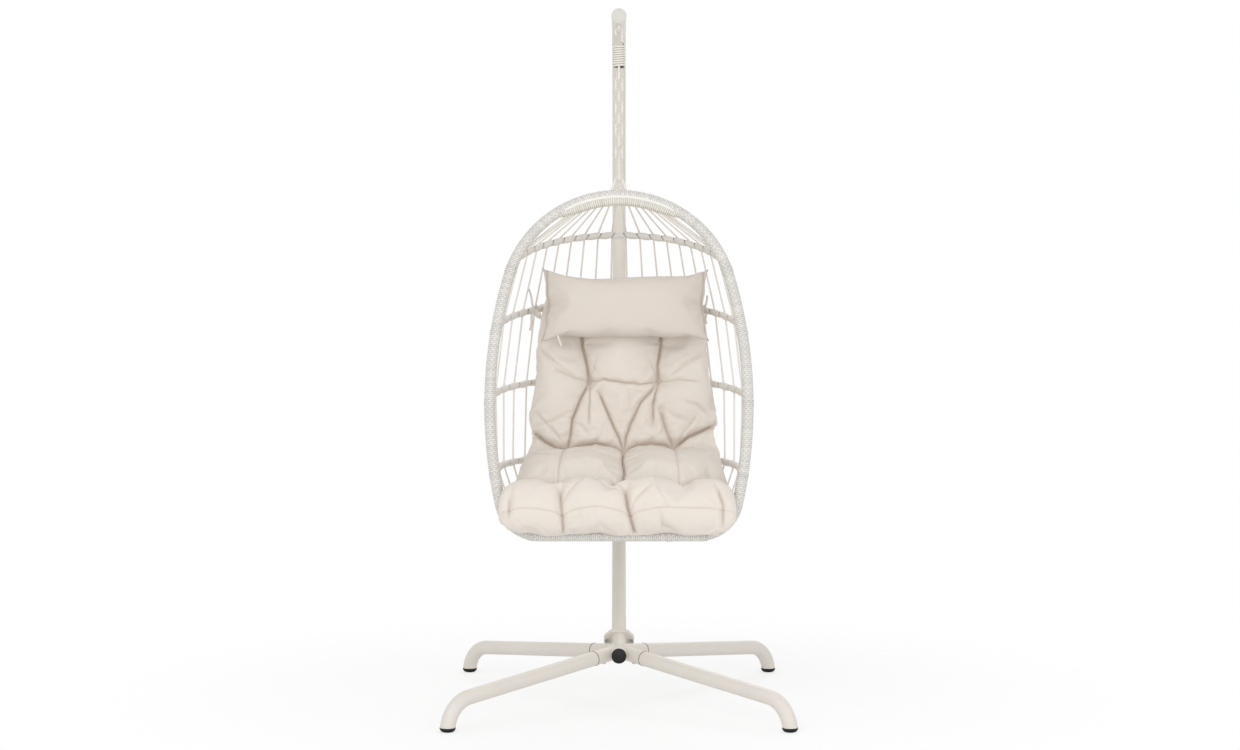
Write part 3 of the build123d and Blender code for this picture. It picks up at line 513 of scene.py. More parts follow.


# %% [markdown]
# ## Joints of the legs
# Each leg slides into a stub of the hub, and a thin dark gap shows where the two tubes meet. A slim
# ring in the colour of painted shadow, half sunk in the tubes, stands for that gap.

# %% Rings at the leg joints
LEG_RADIUS = 0.0205
LEG_SLOPE = radians(5.7)
STUB_LENGTH = 0.100          # from the hub's middle to the joint
RING_THICK = 0.0010
RING_STEPS = 64
RING_SIDES = 8
cap_low, cap_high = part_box("hub_cap")
hub_middle = Vector((0.0, 0.5 * sum(v.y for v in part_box("leg_screws")), 0.5 * (cap_low.z + cap_high.z)))
ring_runs = [arc((0.0, 0.0), LEG_RADIUS, 0.0, 2 * pi)]
ring_flat, _ = walk(ring_runs, 2 * pi * LEG_RADIUS / RING_STEPS)
for index, turn in enumerate((45, 135, 225, 315), start=1):
    down_leg = Vector((cos(radians(turn)) * cos(LEG_SLOPE), sin(radians(turn)) * cos(LEG_SLOPE),
                       -sin(LEG_SLOPE)))
    beside = down_leg.cross(Vector((0.0, 0.0, 1.0))).normalized()
    ring = tube_along(f"leg_joint_{index}", hub_middle + down_leg * STUB_LENGTH, beside,
                      beside.cross(down_leg), ring_flat,
                      np.full((RING_STEPS + 1, RING_SIDES), RING_THICK), closed=True)
    dress(ring, joint_shadow, "stand")
print("joint rings at", [round(v, 3) for v in hub_middle + down_leg * STUB_LENGTH])

# %% [markdown]
# ## Spring
# The real spring gets up to 40 mm longer when somebody sits down. A copy of the imported spring's wire
# stands in for it. A value at each point says how deep it lies between two coils, and paints shade
# into the finish there.

# %% The spring's coils
COIL_CREST = 0.0179          # from the spring's axis: painted shade between the coils starts here and deepens inward
COIL_DEEP = 0.0036
COIL_FOOT = 0.0375           # above the lowest point of the lower hook
COIL_TOP = 0.1047
coil_foot, coil_top = spring_low.z + COIL_FOOT, spring_low.z + COIL_TOP
packed_spring = nodes["spring"].data
wire_points = read_rows(packed_spring.vertices)
spring_coils = mesh_object("spring_coils", wire_points, [tuple(p.vertices) for p in packed_spring.polygons])
from_axis = np.hypot(wire_points[:, 0] - hang_x, wire_points[:, 1] - hang_y)
in_coils = (wire_points[:, 2] > coil_foot) & (wire_points[:, 2] < coil_top)
# painted shade: the groove value darkens the wire where it lies between two coils
keep_values(spring_coils, groove=np.clip((COIL_CREST - from_axis) / COIL_DEEP, 0.0, 1.0) * in_coils)
dress(spring_coils, spring_wire, body=None, replaces="spring")
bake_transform(spring_coils)
print("spring coils from", round(coil_foot, 4), "to", round(coil_top, 4))

# %% [markdown]
# ## Lines of the basket
# The lines of the rim and the hoops are laid out in their own planes from the basket's sizes, and the
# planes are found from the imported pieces.

# %% The rim's line
RIM_WRAP_RADIUS = 0.0165
RIM_TOP_RADIUS = 0.322
RIM_WIDE_PLACE = 0.378       # along the rim, from its bottom to its widest place
RIM_CORNER_RADIUS = 0.111

rim_low, rim_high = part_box("rim_wrap")
rim_half_width = rim_high.x - RIM_WRAP_RADIUS
rim_bottom = Vector((0.0, rim_low.y + RIM_WRAP_RADIUS, rim_low.z + RIM_WRAP_RADIUS))
rim_top = Vector((0.0, rim_high.y - RIM_WRAP_RADIUS, rim_high.z - RIM_WRAP_RADIUS))
rim_up = (rim_top - rim_bottom).normalized()
rim_plane = (rim_bottom, (1, 0, 0), rim_up)

top_centre = (rim_top - rim_bottom).length - RIM_TOP_RADIUS
join_turn = 2 * atan((rim_half_width - RIM_TOP_RADIUS) / (top_centre - RIM_WIDE_PLACE))
side_radius = RIM_TOP_RADIUS + (top_centre - RIM_WIDE_PLACE) / sin(join_turn)
side_centre = rim_half_width - side_radius
corner_x = side_centre + sqrt(
    (side_radius - RIM_CORNER_RADIUS) ** 2 - (RIM_WIDE_PLACE - RIM_CORNER_RADIUS) ** 2
)
corner_turn = atan((RIM_WIDE_PLACE - RIM_CORNER_RADIUS) / (corner_x - side_centre))
rim_runs = [
    straight((0.0, 0.0), (corner_x, 0.0)),
    arc((corner_x, RIM_CORNER_RADIUS), RIM_CORNER_RADIUS, -pi / 2, -corner_turn),
    arc((side_centre, RIM_WIDE_PLACE), side_radius, -corner_turn, join_turn),
    arc((0.0, top_centre), RIM_TOP_RADIUS, join_turn, pi - join_turn),
    arc((-side_centre, RIM_WIDE_PLACE), side_radius, pi - join_turn, pi + corner_turn),
    arc((-corner_x, RIM_CORNER_RADIUS), RIM_CORNER_RADIUS, pi + corner_turn, 1.5 * pi),
    straight((-corner_x, 0.0), (0.0, 0.0)),
]
print("rim", round(sum(run[0] for run in rim_runs), 3), "m round")


# %% Half the rim's width at a height along it
def rim_half(v):
    """Half the rim's width at a distance v along it from its bottom."""
    if v > top_centre + RIM_TOP_RADIUS * sin(join_turn):
        return sqrt(RIM_TOP_RADIUS ** 2 - (v - top_centre) ** 2)
    if v > RIM_CORNER_RADIUS * (1 - sin(corner_turn)):
        return side_centre + sqrt(side_radius ** 2 - (v - RIM_WIDE_PLACE) ** 2)
    return corner_x + sqrt(RIM_CORNER_RADIUS ** 2 - (v - RIM_CORNER_RADIUS) ** 2)


# %% The hoops' lines
HOOP_WRAP_RADIUS = 0.0095
HOOP_RISES = [0.102, 0.081, 0.050, 0.017, -0.032]    # how much higher a hoop is at its back

hoops = []
for number, rise in enumerate(HOOP_RISES, start=1):
    low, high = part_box(f"hoop_wrap_{number}")
    back_z = high.z - HOOP_WRAP_RADIUS if rise > 0 else low.z + HOOP_WRAP_RADIUS
    end_along = (back_z - rise - rim_bottom.z) / rim_up.z
    end = rim_bottom + rim_up * end_along
    back = Vector((0.0, high.y - HOOP_WRAP_RADIUS, back_z))
    half = rim_half(end_along)
    depth = (back - end).length
    runs = [
        straight((-half, 0.0), (-half, depth - half)),
        arc((0.0, depth - half), half, pi, 0.0),
        straight((half, depth - half), (half, 0.0)),
    ]
    hoops.append({"start": end, "out": (back - end).normalized(), "runs": runs,
                  "length": sum(run[0] for run in runs), "along": end_along})
print("hoops", [round(h["length"], 3) for h in hoops])

# %% [markdown]
# ## Winding wicker
# The rim and hoops are steel wound with a round plastic strand. A bump map would give flat edges,
# so the turns are real: a tube whose radius rises and falls along a screw line. Two values go with
# each point, how deep it lies in a groove and a chance value for its turn, and the finish uses them
# to paint shade into the grooves and to tint the turns. A turn of the rim's winding also zigzags a
# little on its way round.

# %% The rim's winding
RIM_PITCH = 0.0058
RIM_STRAND_DEPTH = 0.0013
RIM_FULL = RIM_WRAP_RADIUS - 0.0006
RIM_AROUND = 56
ZIGZAGS = 14                 # how often a turn goes up and down on its way round
ZIGZAG_SHARE = 0.30          # how far it goes, as a share of the pitch
CROOKED_RISE = 0.0004        # the turns do not lie quite evenly: some stand out this much more
BOTTOM_COLLARS = (-0.240, 0.138, 0.233)
COLLAR_HALF = 0.0075
COLLAR_RISE = 0.0009
KNOT_STEP = 0.0072
KNOTS_AROUND = 9

rng = np.random.default_rng(7)
rim_flat, rim_places = walk(rim_runs, RIM_PITCH / 5)
angles = np.arange(RIM_AROUND) * 2 * pi / RIM_AROUND
zigzag = np.abs((angles[None, :] * ZIGZAGS / pi) % 2 - 1) - 0.5
phase = rim_places[:, None] / RIM_PITCH + angles[None, :] / (2 * pi) + ZIGZAG_SHARE * zigzag
crest = np.sqrt(np.abs(np.sin(pi * phase)))      # 0 in a groove and 1 on a turn
turn_number = np.floor(phase).astype(int)
chance = rng.random(turn_number.max() + 2)
turn_value = chance[turn_number]
crooked = 0.35 * np.sin(3 * angles[None, :] + 2.4 * turn_number) * (turn_value - 0.2)
rim_radius = RIM_FULL - RIM_STRAND_DEPTH * (1.0 - crest) - CROOKED_RISE * (crooked + 0.5)

# a few turns over the others hold each hoop's end and close the winding at the bottom
rim_x, rim_v = rim_flat[:, 0], rim_flat[:, 1]
on_collar = np.zeros(len(rim_flat))
for hoop in hoops[:4]:
    on_collar[(np.abs(rim_v - hoop["along"]) < COLLAR_HALF) & (np.abs(rim_x) > 0.05)] = 1.0
for place in BOTTOM_COLLARS:
    on_collar[(np.abs(rim_x - place) < COLLAR_HALF) & (rim_v < 0.01)] = 1.0
rim_radius += COLLAR_RISE * on_collar[:, None]
knots = np.cos(KNOTS_AROUND * angles)[None, :] * np.sin(2 * pi * rim_places / KNOT_STEP)[:, None]
# painted shade: the groove value darkens the grooves between the turns; on the collars it also adds a
# coarse pattern of darker marks
rim_groove = np.clip(1.0 - crest + 1.1 * on_collar[:, None] * np.clip(knots - 0.25, 0, 1), 0, 1)
wound_place = np.stack(np.broadcast_arrays(rim_places[:, None], RIM_WRAP_RADIUS * angles, 0.0), axis=2)
rim_winding = tube_along("rim_winding", *rim_plane, rim_flat, rim_radius, closed=True,
                         groove=rim_groove, turn=turn_value, wound_place=wound_place)
dress(rim_winding, rim_wicker, replaces="rim_wrap")
print("rim winding", turn_number.max(), "turns")

# %% [markdown]
# The hoops are wound the same way, but a back string takes one turn round the hoop at each place
# where it passes. That turn lies slanting in a gap of the winding, so the hoop looks like a row of
# short barrels with a string between each pair.


# %% The hoops' windings
def bell(distance, width):
    """1 at no distance, falling away like a bell."""
    return np.exp(-((distance / width) ** 2))


STRING_COUNT = 24
STRING_MARGIN = 0.035        # share of a hoop's length without strings, beside the rim
HOOP_STEP = 0.0011           # between rings of points
HOOP_AROUND = 24
BARREL_THIN = 0.0078         # the winding's radius where one barrel slips under the next
BARREL_FULL = 0.0109
BARREL_SLANT = 0.0066        # how far the line between two barrels leans
BARREL_LINE = 0.0017         # half the width of that line
BARREL_DENT = 0.0006         # how deep the line is
TICK_HALF = 0.0021           # painted shade where a string's turn crosses the top of the hoop
share_step = (1 - 2 * STRING_MARGIN) / (STRING_COUNT - 1)
angles = np.arange(HOOP_AROUND) * 2 * pi / HOOP_AROUND
on_top = np.clip(np.sin(angles)[None, :] - 0.35, 0.0, 1.0)
for number, hoop in enumerate(hoops, start=1):
    flat, places = walk(hoop["runs"], HOOP_STEP)
    spacing = share_step * hoop["length"]
    half_way = np.sign(places - 0.5 * hoop["length"])[:, None]
    slant = BARREL_SLANT * np.sin(angles)[None, :] * half_way
    barrel_place = (places[:, None] - STRING_MARGIN * hoop["length"] + slant) / spacing
    barrel = barrel_place - np.floor(barrel_place)
    barrel_number = np.floor(barrel_place).astype(int) - int(np.floor(barrel_place.min()))
    swell = rng.uniform(0.75, 1.0, barrel_number.max() + 1)[barrel_number]
    cone = np.sin(pi * np.where(half_way > 0, 1.0 - barrel, barrel) ** 1.5) ** 0.6
    to_line = np.minimum(barrel, 1.0 - barrel) * spacing
    line = bell(to_line, BARREL_LINE)
    tick = on_top * np.exp(-((to_line / TICK_HALF) ** 4))
    radius = BARREL_THIN + (BARREL_FULL - BARREL_THIN) * swell * cone - BARREL_DENT * line
    # painted shade: the groove value darkens the line between two barrels, and a tick where a string's turn
    # crosses the top of the hoop
    made = tube_along(f"hoop_winding_{number}", hoop["start"], (1, 0, 0), hoop["out"], flat, radius,
                      closed=False, groove=np.clip(line + 1.2 * tick, 0.0, 1.0), turn=swell * 2.0 - 1.0)
    dress(made, hoop_wicker, replaces=f"hoop_wrap_{number}")
print("string turns on each hoop", STRING_COUNT)

# %% [markdown]
# Under the top of the arch the strings are looped side by side round the rim before they run down,
# which makes a ribbed band on the inner side. Only the lower half of each loop shows, so the band
# is a part of a ribbed tube that sinks into the winding at both its edges. A smooth strip covers the
# band's front edge. Both grow thin toward their ends.

# %% String loops under the arch
LOOP_HALF_LENGTH = 0.186     # along the rim, to each side of its top
LOOP_PITCH = 0.0064
LOOP_FROM, LOOP_TO = 2.30, 4.85                  # round the rim's tube, in radians
LOOP_SUNK = 0.0012           # how far the loops' edges lie in the winding
LOOP_HANG = 0.0135           # how far the loops stand off the rim on its inner side
LOOP_RIB = 0.0016
LOOP_AROUND = 26
LOOP_TAPER = 0.075           # over this length the loops grow to their full hang
STRIP_FROM, STRIP_TO = 1.78, 2.48
STRIP_SUNK = 0.0022
STRIP_THICK = 0.0031
STRIP_AROUND = 12
STRIP_TAPER = 0.090
half_turn = LOOP_HALF_LENGTH / RIM_TOP_RADIUS
arch_runs = [arc((0.0, top_centre), RIM_TOP_RADIUS, pi / 2 - half_turn, pi / 2 + half_turn)]
arch_flat, arch_places = walk(arch_runs, LOOP_PITCH / 8)
to_end = np.minimum(arch_places, arch_places[-1] - arch_places)[:, None]
loop_ends, strip_ends = (
    np.sin(0.5 * pi * np.clip(to_end / taper, 0.0, 1.0)) for taper in (LOOP_TAPER, STRIP_TAPER)
)
loop_angles = np.linspace(LOOP_FROM, LOOP_TO, LOOP_AROUND)
ribs = (np.abs(np.sin(pi * arch_places / LOOP_PITCH)) ** 0.6)[:, None]
rise = np.clip(np.minimum((loop_angles - LOOP_FROM) / 0.55, (LOOP_TO - loop_angles) / 1.3), 0.0, 1.0)
hang = np.sin(0.5 * pi * rise)[None, :] * loop_ends
loop_radius = RIM_WRAP_RADIUS - LOOP_SUNK + LOOP_HANG * hang + LOOP_RIB * ribs * (0.3 + 0.7 * hang)
loop_number = np.floor(arch_places / LOOP_PITCH).astype(int)
loop_chance = rng.random(loop_number.max() + 2)[loop_number][:, None]
even = np.ones((1, LOOP_AROUND))
# painted shade: the groove value darkens the loops between their ribs
arch_loops = tube_along("string_loops", *rim_plane, arch_flat, loop_radius, closed=False,
                        angles=loop_angles, groove=(1.0 - ribs) * even, turn=loop_chance * even)
strip_edge = np.sin(pi * np.arange(STRIP_AROUND) / (STRIP_AROUND - 1)) ** 0.8
strip_radius = RIM_WRAP_RADIUS - STRIP_SUNK + STRIP_THICK * strip_edge[None, :] * strip_ends
arch_strip = tube_along("arch_strip", *rim_plane, arch_flat, strip_radius, closed=False,
                        angles=np.linspace(STRIP_FROM, STRIP_TO, STRIP_AROUND),
                        groove=0.0 * strip_radius, turn=0.0 * strip_radius)
dress(arch_loops, loop_finish)
dress(arch_strip, strip_finish)
print("loops under the arch", loop_number.max() + 1)

# %% [markdown]
# ## Cushion
# One long padded cushion makes the back, the seat and the roll at the front. It is laid out as
# stations along its length: where its front and its underside are, and how wide it is. Threads pull
# it in at eight tufts, and folds run between them. The shape comes first, with each tuft and fold
# already pressed in; then cloth simulation blows the cover up between them, so that it wrinkles as
# a real cover does; then the folds and the seam are made sharp again on the finer mesh.

# %% Stations of the cushion
# in millimetres, as distances from the hanging point (y) and heights (z):
# front y, z; underside y, z; half width, and how far its middle lies to one side
STATIONS = np.array([
    (158, 1168, 196, 1170, 186, 8),         # top edge, behind the pillow
    (140, 1150, 226, 1152, 212, 8),
    (117, 1015, 212, 1020, 243, 8),         # the pillow's foot
    (97, 900, 196, 906, 256, 12),           # upper tufts
    (77, 800, 182, 806, 272, 12),
    (62, 752, 172, 744, 262, 12),
    (46, 721, 160, 680, 273, 12),           # crease between back and seat
    (-8, 706, 108, 596, 288, 8),
    (-85, 684, 15, 555, 298, 8),
    (-160, 664, -120, 534, 304, 7),
    (-203, 657, -180, 523, 313, 1),         # front tufts
    (-246, 652, -212, 521, 321, -3),        # top of the roll
    (-280, 618, -238, 519, 325, -4),
    (-290, 572, -250, 516, 322, -3),        # front of the roll
    (-284, 532, -252, 510, 304, -2),
    (-266, 508, -254, 505, 270, -2),        # lower edge
]) / 1000.0


def smooth_rows(rows, places):
    """A smooth curve through the rows, read at places counted in rows."""
    last = len(rows) - 1
    low = np.clip(np.floor(places).astype(int), 0, last - 1)
    t = (places - low)[:, None]
    a = rows[np.clip(low - 1, 0, last)]
    b = rows[low]
    c = rows[low + 1]
    d = rows[np.clip(low + 2, 0, last)]
    return b + 0.5 * t * (c - a + t * (2 * a - 5 * b + 4 * c - d + t * (3 * (b - c) + d - a)))


def distance_along(points):
    """How far along a line each of its points is."""
    return np.concatenate([[0.0], np.cumsum(np.linalg.norm(np.diff(points, axis=0), axis=1))])


def distance_to_line(points, line):
    """The distance of each point from a line through a few places."""
    best = np.full(len(points), 1e9)
    for a, b in zip(line[:-1], line[1:]):
        run = b - a
        share = np.clip(((points - a) @ run) / max(run @ run, 1e-12), 0.0, 1.0)
        best = np.minimum(best, np.linalg.norm(points - a - share[:, None] * run, axis=1))
    return best


# %% Tufts and folds
# a place is its distance from the cushion's middle in millimetres and its station
TUFTS = [(-85, 3.0), (114, 3.0), (-147, 6.0), (14, 6.1), (157, 5.9),
         (-170, 9.9), (-3, 10.2), (168, 10.0)]
FOLDS = [
    # depth and width in millimetres, and the places that it runs through
    (16, 8, [(-112, 1.4), (-106, 2.1), (-92, 2.6), (-85, 3.0)]),
    (16, 8, [(120, 1.4), (122, 2.1), (112, 2.6), (114, 3.0)]),
    (10, 8, [(-85, 3.0), (-40, 2.92), (10, 2.98), (60, 3.04), (114, 3.0)]),
    (13, 6, [(-58, 3.3), (-36, 3.8), (-14, 4.6), (4, 5.4), (14, 6.1)]),
    (12, 7, [(108, 3.1), (62, 3.6), (34, 4.4), (18, 5.3), (14, 6.1)]),
    (14, 7, [(-85, 3.0), (-112, 3.5), (-134, 4.1), (-140, 5.0), (-147, 6.0)]),
    (10, 6, [(-85, 3.0), (-84, 3.6), (-88, 4.3)]),
    (12, 6, [(114, 3.0), (100, 3.6), (98, 4.4)]),
    (12, 10, [(120, 3.8), (136, 4.7), (157, 5.9)]),
    (8, 12, [(-85, 3.0), (-130, 2.86), (-185, 2.66)]),
    (8, 12, [(114, 3.0), (170, 2.92), (235, 2.98)]),
    (18, 8, [(-262, 4.85), (-240, 4.95), (-215, 5.40), (-184, 5.80), (-147, 6.0)]),
    (15, 7, [(-147, 6.0), (-110, 5.72), (-65, 5.62), (-20, 5.80), (14, 6.1)]),
    (15, 7, [(14, 6.1), (50, 5.74), (90, 5.62), (130, 5.70), (157, 5.9)]),
    (17, 8, [(157, 5.9), (202, 5.10), (245, 4.75), (284, 4.45)]),
    (8, 12, [(-147, 6.0), (-156, 7.2), (-166, 8.6), (-170, 9.9)]),
    (16, 7, [(14, 6.1), (10, 7.2), (16, 8.4), (10, 9.4), (-3, 10.2)]),
    (7, 12, [(157, 5.9), (160, 7.5), (166, 9.0), (168, 10.0)]),
    (20, 10, [(-318, 8.6), (-255, 8.9), (-200, 9.4), (-170, 9.9)]),
    (20, 10, [(-170, 9.9), (-130, 9.35), (-80, 9.2), (-35, 9.5), (-3, 10.2)]),
    (20, 10, [(-3, 10.2), (40, 9.45), (85, 9.15), (130, 9.4), (168, 10.0)]),
    (20, 10, [(168, 10.0), (205, 9.2), (260, 8.7), (310, 8.9)]),
    (12, 7, [(-170, 9.9), (-176, 10.6)]),
    (14, 7, [(-3, 10.2), (-16, 10.9)]),
    (12, 7, [(168, 10.0), (171, 10.8)]),
    (13, 9, [(-160, 11.3), (-157, 12.4), (-152, 13.8), (-154, 14.6)]),
    (18, 9, [(18, 11.2), (24, 12.3), (36, 13.4), (46, 14.8)]),
    (11, 9, [(272, 11.4), (284, 12.6), (283, 14.0)]),
    (10, 10, [(-298, 12.0), (-300, 13.4)]),
    (6, 10, [(-250, 7.0), (-190, 7.5), (-120, 7.3)]),
    (6, 10, [(250, 6.6), (215, 6.0), (175, 5.95)]),
    (5, 9, [(-240, 3.9), (-205, 4.4), (-175, 5.1), (-152, 5.8)]),
    (4, 8, [(-250, 4.6), (-215, 4.3), (-190, 4.2)]),
    (5, 8, [(262, 3.9), (225, 3.6), (190, 3.5)]),
    (5, 9, [(225, 3.9), (190, 4.7), (168, 5.6)]),
    (4, 8, [(-230, 2.2), (-180, 2.5), (-120, 2.9)]),
    (4, 8, [(240, 2.3), (190, 2.5), (135, 2.9)]),
    (4, 8, [(-60, 2.3), (-72, 2.6), (-83, 2.9)]),
    (4, 8, [(90, 2.4), (104, 2.7), (112, 2.9)]),
    (5, 8, [(-60, 6.5), (-100, 6.3), (-140, 6.1)]),
    (5, 8, [(60, 6.6), (34, 6.4), (18, 6.2)]),
    (5, 8, [(120, 6.6), (140, 6.3), (155, 6.0)]),
    (5, 9, [(-60, 11.0), (-30, 11.4), (10, 11.7)]),
    (5, 9, [(85, 11.5), (50, 12.1), (30, 12.8)]),
    (5, 9, [(-110, 11.2), (-135, 11.8), (-154, 12.3)]),
    (5, 9, [(150, 14.9), (120, 14.2), (116, 13.4)]),
    (6, 12, [(-300, 10.0), (-240, 10.3), (-190, 10.2)]),
    (6, 12, [(300, 10.2), (240, 10.0), (190, 10.2)]),
]

# %% The cushion before it is stuffed
CUSHION_STEP = 0.0056
CUSHION_ROUND = 208
SIDE_ROUND, FACE_ROUND = 0.55, 0.75              # how round the edge is, seen from above and in section
LOFT = 0.034                 # how far the cover stands up between the folds
LOFT_REACH = 0.055           # how far from a fold it gets there
DEEP_FOLD = 0.011            # only folds deeper than this hold the loft down
TUFT_DEPTH = 0.016
TUFT_WIDTH = 0.016
EDGE_WAVE = 0.0035           # how far the roll's lower edge sags between its pinches
EDGE_STATION = 12.5          # the sagging starts here

station_numbers = np.arange(len(STATIONS))
fine_stations = np.linspace(0, len(STATIONS) - 1, 400)
front_run = distance_along(smooth_rows(STATIONS, fine_stations)[:, :2])
station_run = np.interp(station_numbers, fine_stations, front_run)
cushion_rows = int(front_run[-1] / CUSHION_STEP)
row_run = np.linspace(0.0, front_run[-1], cushion_rows)
row_station = np.interp(row_run, front_run, fine_stations)
profile = smooth_rows(STATIONS, row_station)


def cloth_line(line):
    """Places told by station turned into distances on the cloth."""
    return np.array([(x / 1000.0, np.interp(s, station_numbers, station_run)) for x, s in line])


def ring_shape(half_width):
    """Even points round a flat, round-edged section: across it, and from -1 below to 1 above."""
    dense = np.linspace(0.0, 2 * pi, 1441)
    x = half_width * np.sign(np.cos(dense)) * np.abs(np.cos(dense)) ** SIDE_ROUND
    q = np.sign(np.sin(dense)) * np.abs(np.sin(dense)) ** FACE_ROUND
    way = np.concatenate([[0.0], np.cumsum(np.hypot(np.diff(x), 0.05 * np.diff(q)))])
    at = np.linspace(0.0, way[-1], CUSHION_ROUND, endpoint=False)
    return np.interp(at, way, x), np.interp(at, way, q)


rows = []
for (front_y, front_z, under_y, under_z, half, aside), run in zip(profile, row_run):
    x, q = ring_shape(half)
    rise = (q + 1.0) / 2
    y = under_y + (front_y - under_y) * rise
    z = under_z + (front_z - under_z) * rise
    rows.append(np.stack([x + aside, y + hang_y, z, q, np.full_like(x, run)], axis=1))
rings = np.array(rows)
front_way = profile[:, 0:2] - profile[:, 2:4]
front_way /= np.linalg.norm(front_way, axis=1)[:, None]

flat = rings.reshape(-1, 5)
on_cloth = flat[:, [0, 4]]
front_side = np.clip(flat[:, 3] * 1.6, 0.0, 1.0)
folds = [(depth / 1000.0, width / 1000.0, cloth_line(line)) for depth, width, line in FOLDS]
nearest = np.full(len(flat), 1e9)
tuft_away = np.full(len(flat), 1e9)
pressed = np.zeros(len(flat))
for depth, width, path in folds:
    away = distance_to_line(on_cloth, path)
    if depth > DEEP_FOLD:
        nearest = np.minimum(nearest, away)
    pressed = np.maximum(pressed, 0.5 * depth * bell(away, 1.2 * width))
for tuft in cloth_line(TUFTS):
    tuft_away = np.minimum(tuft_away, np.linalg.norm(on_cloth - tuft, axis=1))
nearest = np.minimum(nearest, tuft_away)
puff = LOFT * (1.0 - np.exp(-((nearest / LOFT_REACH) ** 0.9))) - 0.6 * LOFT
puff -= pressed + TUFT_DEPTH * bell(tuft_away, TUFT_WIDTH)
lift = (puff * front_side).reshape(cushion_rows, CUSHION_ROUND)
cushion_points = rings[:, :, :3].copy()
lower_share = np.clip((row_station - EDGE_STATION) / 2.5, 0.0, 1.0)[:, None]
waves = np.sin(31.0 * rings[:, :, 0] + 0.8) + 0.6 * np.sin(67.0 * rings[:, :, 0] + 2.0)
cushion_points[:, :, 2] -= EDGE_WAVE * lower_share * (1.0 + waves)
cushion_points[:, :, 1] += lift * front_way[:, None, 0]
cushion_points[:, :, 2] += lift * front_way[:, None, 1]
print("cushion", cushion_rows, "rows of", CUSHION_ROUND, "points")


# %% Closed mesh from rings
def closed_rings(name, rings):
    """A closed mesh made of rings, with a ladder of faces across each end ring."""
    rows, around = rings.shape[:2]
    faces = ring_faces(rows, around)
    for base, way in ((0, -1), ((rows - 1) * around, 1)):
        for j in range(around // 2):
            rung = [base + j, base + j + 1, base + (around - j - 1) % around, base + (around - j) % around]
            faces.append(tuple(dict.fromkeys(rung))[::way])
    return mesh_object(name, rings.reshape(-1, 3), faces)


# %% Stuffing by simulation
STUFFING_FRAMES = 14
CLOTH_SETTINGS = {
    "quality": 5, "mass": 0.3, "tension_stiffness": 15, "compression_stiffness": 15,
    "shear_stiffness": 5, "bending_stiffness": 0.3, "use_pressure": True, "vertex_group_mass": "held",
}


def stuff(piece, held, pressure, shrink, reach):
    """Blows a cover up with cloth simulation. held is how firmly each point stays where it is."""
    before = read_rows(piece.data.vertices)
    group = piece.vertex_groups.new(name="held")
    for strength in np.unique(held[held > 0]):
        group.add([int(i) for i in np.nonzero(held == strength)[0]], float(strength), "REPLACE")
    cloth = piece.modifiers.new("stuffing", "CLOTH")
    for setting, value in CLOTH_SETTINGS.items():
        setattr(cloth.settings, setting, value)
    cloth.settings.uniform_pressure_force = pressure
    cloth.settings.shrink_min = shrink
    cloth.settings.effector_weights.gravity = 0
    cloth.collision_settings.use_collision = False
    cloth.point_cache.frame_start = 1
    cloth.point_cache.frame_end = STUFFING_FRAMES
    for number in range(1, STUFFING_FRAMES + 1):
        scene.frame_set(number)
    evaluated = piece.evaluated_get(bpy.context.evaluated_depsgraph_get())
    move = read_rows(evaluated.data.vertices) - before
    size = np.linalg.norm(move, axis=1)
    move *= np.minimum(1.0, reach / np.maximum(size, 1e-9))[:, None]
    piece.modifiers.remove(cloth)
    piece.vertex_groups.remove(group)
    scene.frame_set(1)
    move_points(piece, before + move)
    print(piece.name, "moved by", round(size.mean() * 1000, 1), "mm on average,",
          round(size.max() * 1000, 1), "mm at most")


def refine(piece):
    """One level of subdivision, made part of the mesh."""
    modifier = piece.modifiers.new("finer", "SUBSURF")
    modifier.levels = modifier.render_levels = 1
    evaluated = piece.evaluated_get(bpy.context.evaluated_depsgraph_get())
    finer = bpy.data.meshes.new_from_object(evaluated)
    piece.modifiers.clear()
    piece.data = finer
    finer.polygons.foreach_set("use_smooth", [True] * len(finer.polygons))
    print(piece.name, "has", len(finer.vertices), "points")


# %% The cushion, stuffed
CLOTH_ROUND = 1.25           # the cover's girth, for its threads
FOLD_HOLD = 0.0048           # the cover is held where a fold is pressed in deeper than this
TUFT_HOLD = 0.009            # and this close to a tuft
cushion_cover = closed_rings("cushion_cover", cushion_points)
round_cloth = np.linspace(0.0, CLOTH_ROUND, CUSHION_ROUND, endpoint=False)
cloth_place = np.stack(np.broadcast_arrays(round_cloth, row_run[:, None], 0.0), axis=2)
keep_values(cushion_cover, cloth_place=cloth_place, middle_place=flat[:, [0, 4, 3]])
held = np.where(flat[:, 3] < -0.4, 0.8, 0.0)
held[(pressed > FOLD_HOLD) & (front_side > 0.6)] = 0.6
held[(tuft_away < TUFT_HOLD) & (front_side > 0.6)] = 1.0
stuff(cushion_cover, held, 3.5, -0.05, 0.016)
refine(cushion_cover)

